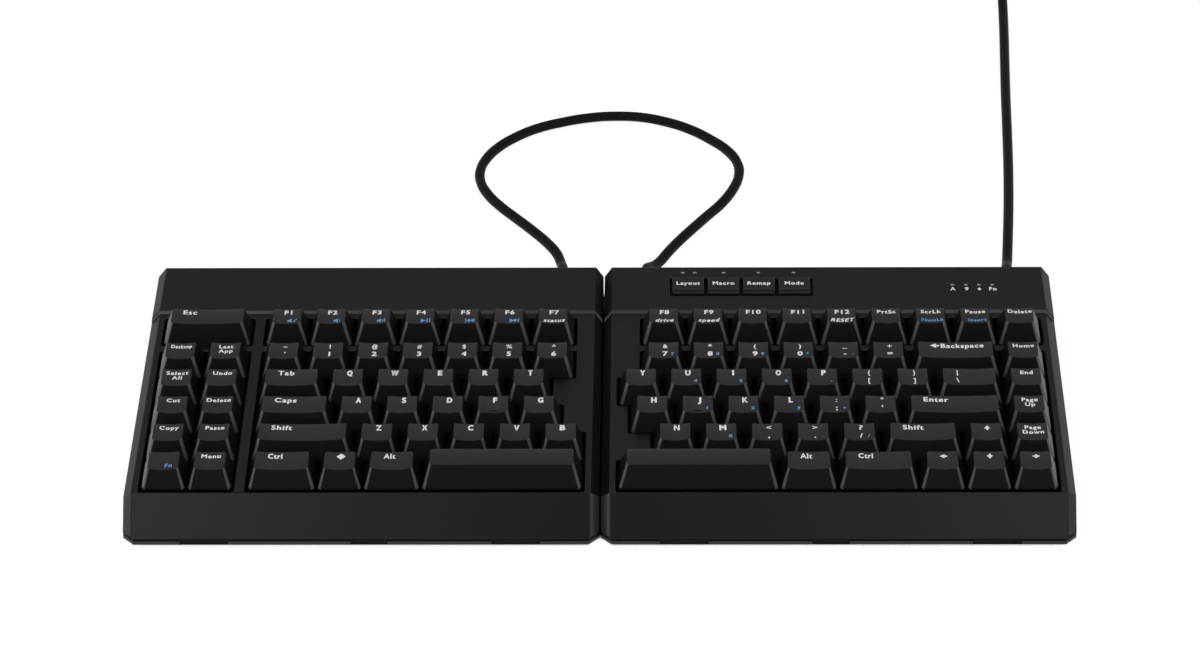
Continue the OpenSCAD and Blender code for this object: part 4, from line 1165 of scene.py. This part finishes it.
def print_key(shape, carrier, box, words):
    """Prints one cap's words, from the middle of a small key and from near the left end of a long one."""
    x0, x1, y0, y1 = box
    x, y = (x0 + x1) / 2, (y0 + y1) / 2
    left = x0 + LEAN_IN
    room = x1 - x0 - 2 * LEAN_IN - 1
    upper, lower, second = (tuple(words) + ("", "", ""))[:3]
    small = x1 - x0 < SMALL_KEY
    letter_x = x + LETTER_X if small else left + LONG_LETTER_X

    def stamp(mark, at, height, finish=WHITE, anchor="middle", slant=0):
        width = PRINT_WIDTHS.get(mark, LETTER_WIDTH if mark.isalpha() and len(mark) == 1 else None)
        if mark in SIGNS:
            outlines, turn = SIGNS[mark]
            print_on(shape, carrier, sign(outlines, height, turn), at, room, anchor, finish)
        else:
            foot = (at[0], at[1] - height / 2)
            mesh = lettering(mark, height, slant)
            print_on(shape, carrier, mesh, foot, room, anchor, finish, width, print_weight(mark) * height)

    if upper == "left Backspace":
        stamp("left", (left + 4.9, y + UPPER_Y), height=3.9, anchor="left")
        stamp("Backspace", (left + 9.6, y + UPPER_Y), height=2.85, anchor="left")
    elif upper in ("up", "left", "down", "right", "diamond"):
        stamp(upper, (x + 0.45, y + 2.9), height=3.8 if upper == "diamond" else 3.1)
    elif len(upper) == 1:
        stamp(upper, (letter_x, y + UPPER_Y), height=3.2 if upper.isalpha() else 2.6)
    elif upper.startswith("F") and upper[1:].isdigit():
        stamp(upper, (x + 0.4, y + UPPER_Y), height=2.7)
    elif small:
        for line, word in enumerate(upper.split()):
            stamp(word, (x + 0.3, y + UPPER_Y - LINE_STEP * line), height=2.25)
    elif upper:
        stamp(upper, (left + LONG_WORD_X, y + UPPER_Y), height=2.8, anchor="left")
    if lower:
        stamp(lower, (letter_x, y + LOWER_Y), height=2.9)
    if second == "Fn":
        stamp(second, (x + 2.2, y - 2.6), height=2.1, finish=BLUE)
    elif second in SIGNS:
        stamp(second, (x + 2.4, y + SECOND_Y), height=4.2, finish=BLUE)
    elif second in SLANTED:
        stamp(second, (x + 0.5, y + SECOND_Y), height=2.25, slant=0.25)
    elif len(second) > 1:
        stamp(second, (x + 0.9, y + SECOND_Y), height=1.95, finish=BLUE)
    elif second:
        stamp(second, (x + 3.9, y - 2.7), height=1.85, finish=BLUE)


for node, words in KEYS.items():
    key_shape = merged_copy(node)
    caps = []
    for island in islands(key_shape):
        corners = {v for face in island for v in face.verts}
        if max(v.co.z for v in corners) < PLUNGER_TOP:
            for face in island:
                face.material_index = PLUNGER
        else:
            caps.append(corners)
            for face in island:
                face.material_index = SIDE
    boxes = [
        (min(v.co.x for v in c), max(v.co.x for v in c), min(v.co.y for v in c), max(v.co.y for v in c))
        for c in caps
    ]
    boxes = [box for box in boxes if box[1] - box[0] > CAP_LEAST]
    boxes.sort(key=lambda box: (-round(box[2]), box[0]))
    shown = [
        e for e in key_shape.edges
        if faces_out(e) and e.link_faces[0].material_index == SIDE
        and e.verts[0].co.z + e.verts[1].co.z > 2 * CAP_FOOT
    ]
    rounded = set(round_edges(key_shape, shown, CAP_ROUND, 2))
    # Painted light: tops take the lit copy, fronts and sides the shaded copy, corners the painted highlight.
    for face in key_shape.faces:
        normal = face.normal
        middle = face.calc_center_median()
        corner = abs(normal.x * normal.y)
        if face in rounded:
            if corner > ROUND_CORNER:
                face.material_index = EDGE
            else:
                face.material_index = TOP if normal.z > ROUND_TOP else SIDE
        elif face.material_index != SIDE:
            continue
        elif normal.z > TOP_RISE and middle.z > PLUNGER_TOP:
            face.material_index = TOP
            face.smooth = True
        elif normal.z > CORNER_RISE and corner > CORNER:
            face.material_index = EDGE
        elif normal.x * middle.x > OUTER_X:
            face.material_index = FLANK
    carrier = BVHTree.FromBMesh(key_shape)
    for box, legend in zip(boxes, words, strict=True):
        print_key(key_shape, carrier, box, legend)
    piece = put_together(node + "_caps", key_shape, CAP_FINISHES)
    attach(piece, node)
    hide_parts(node)

bpy.context.view_layer.update()
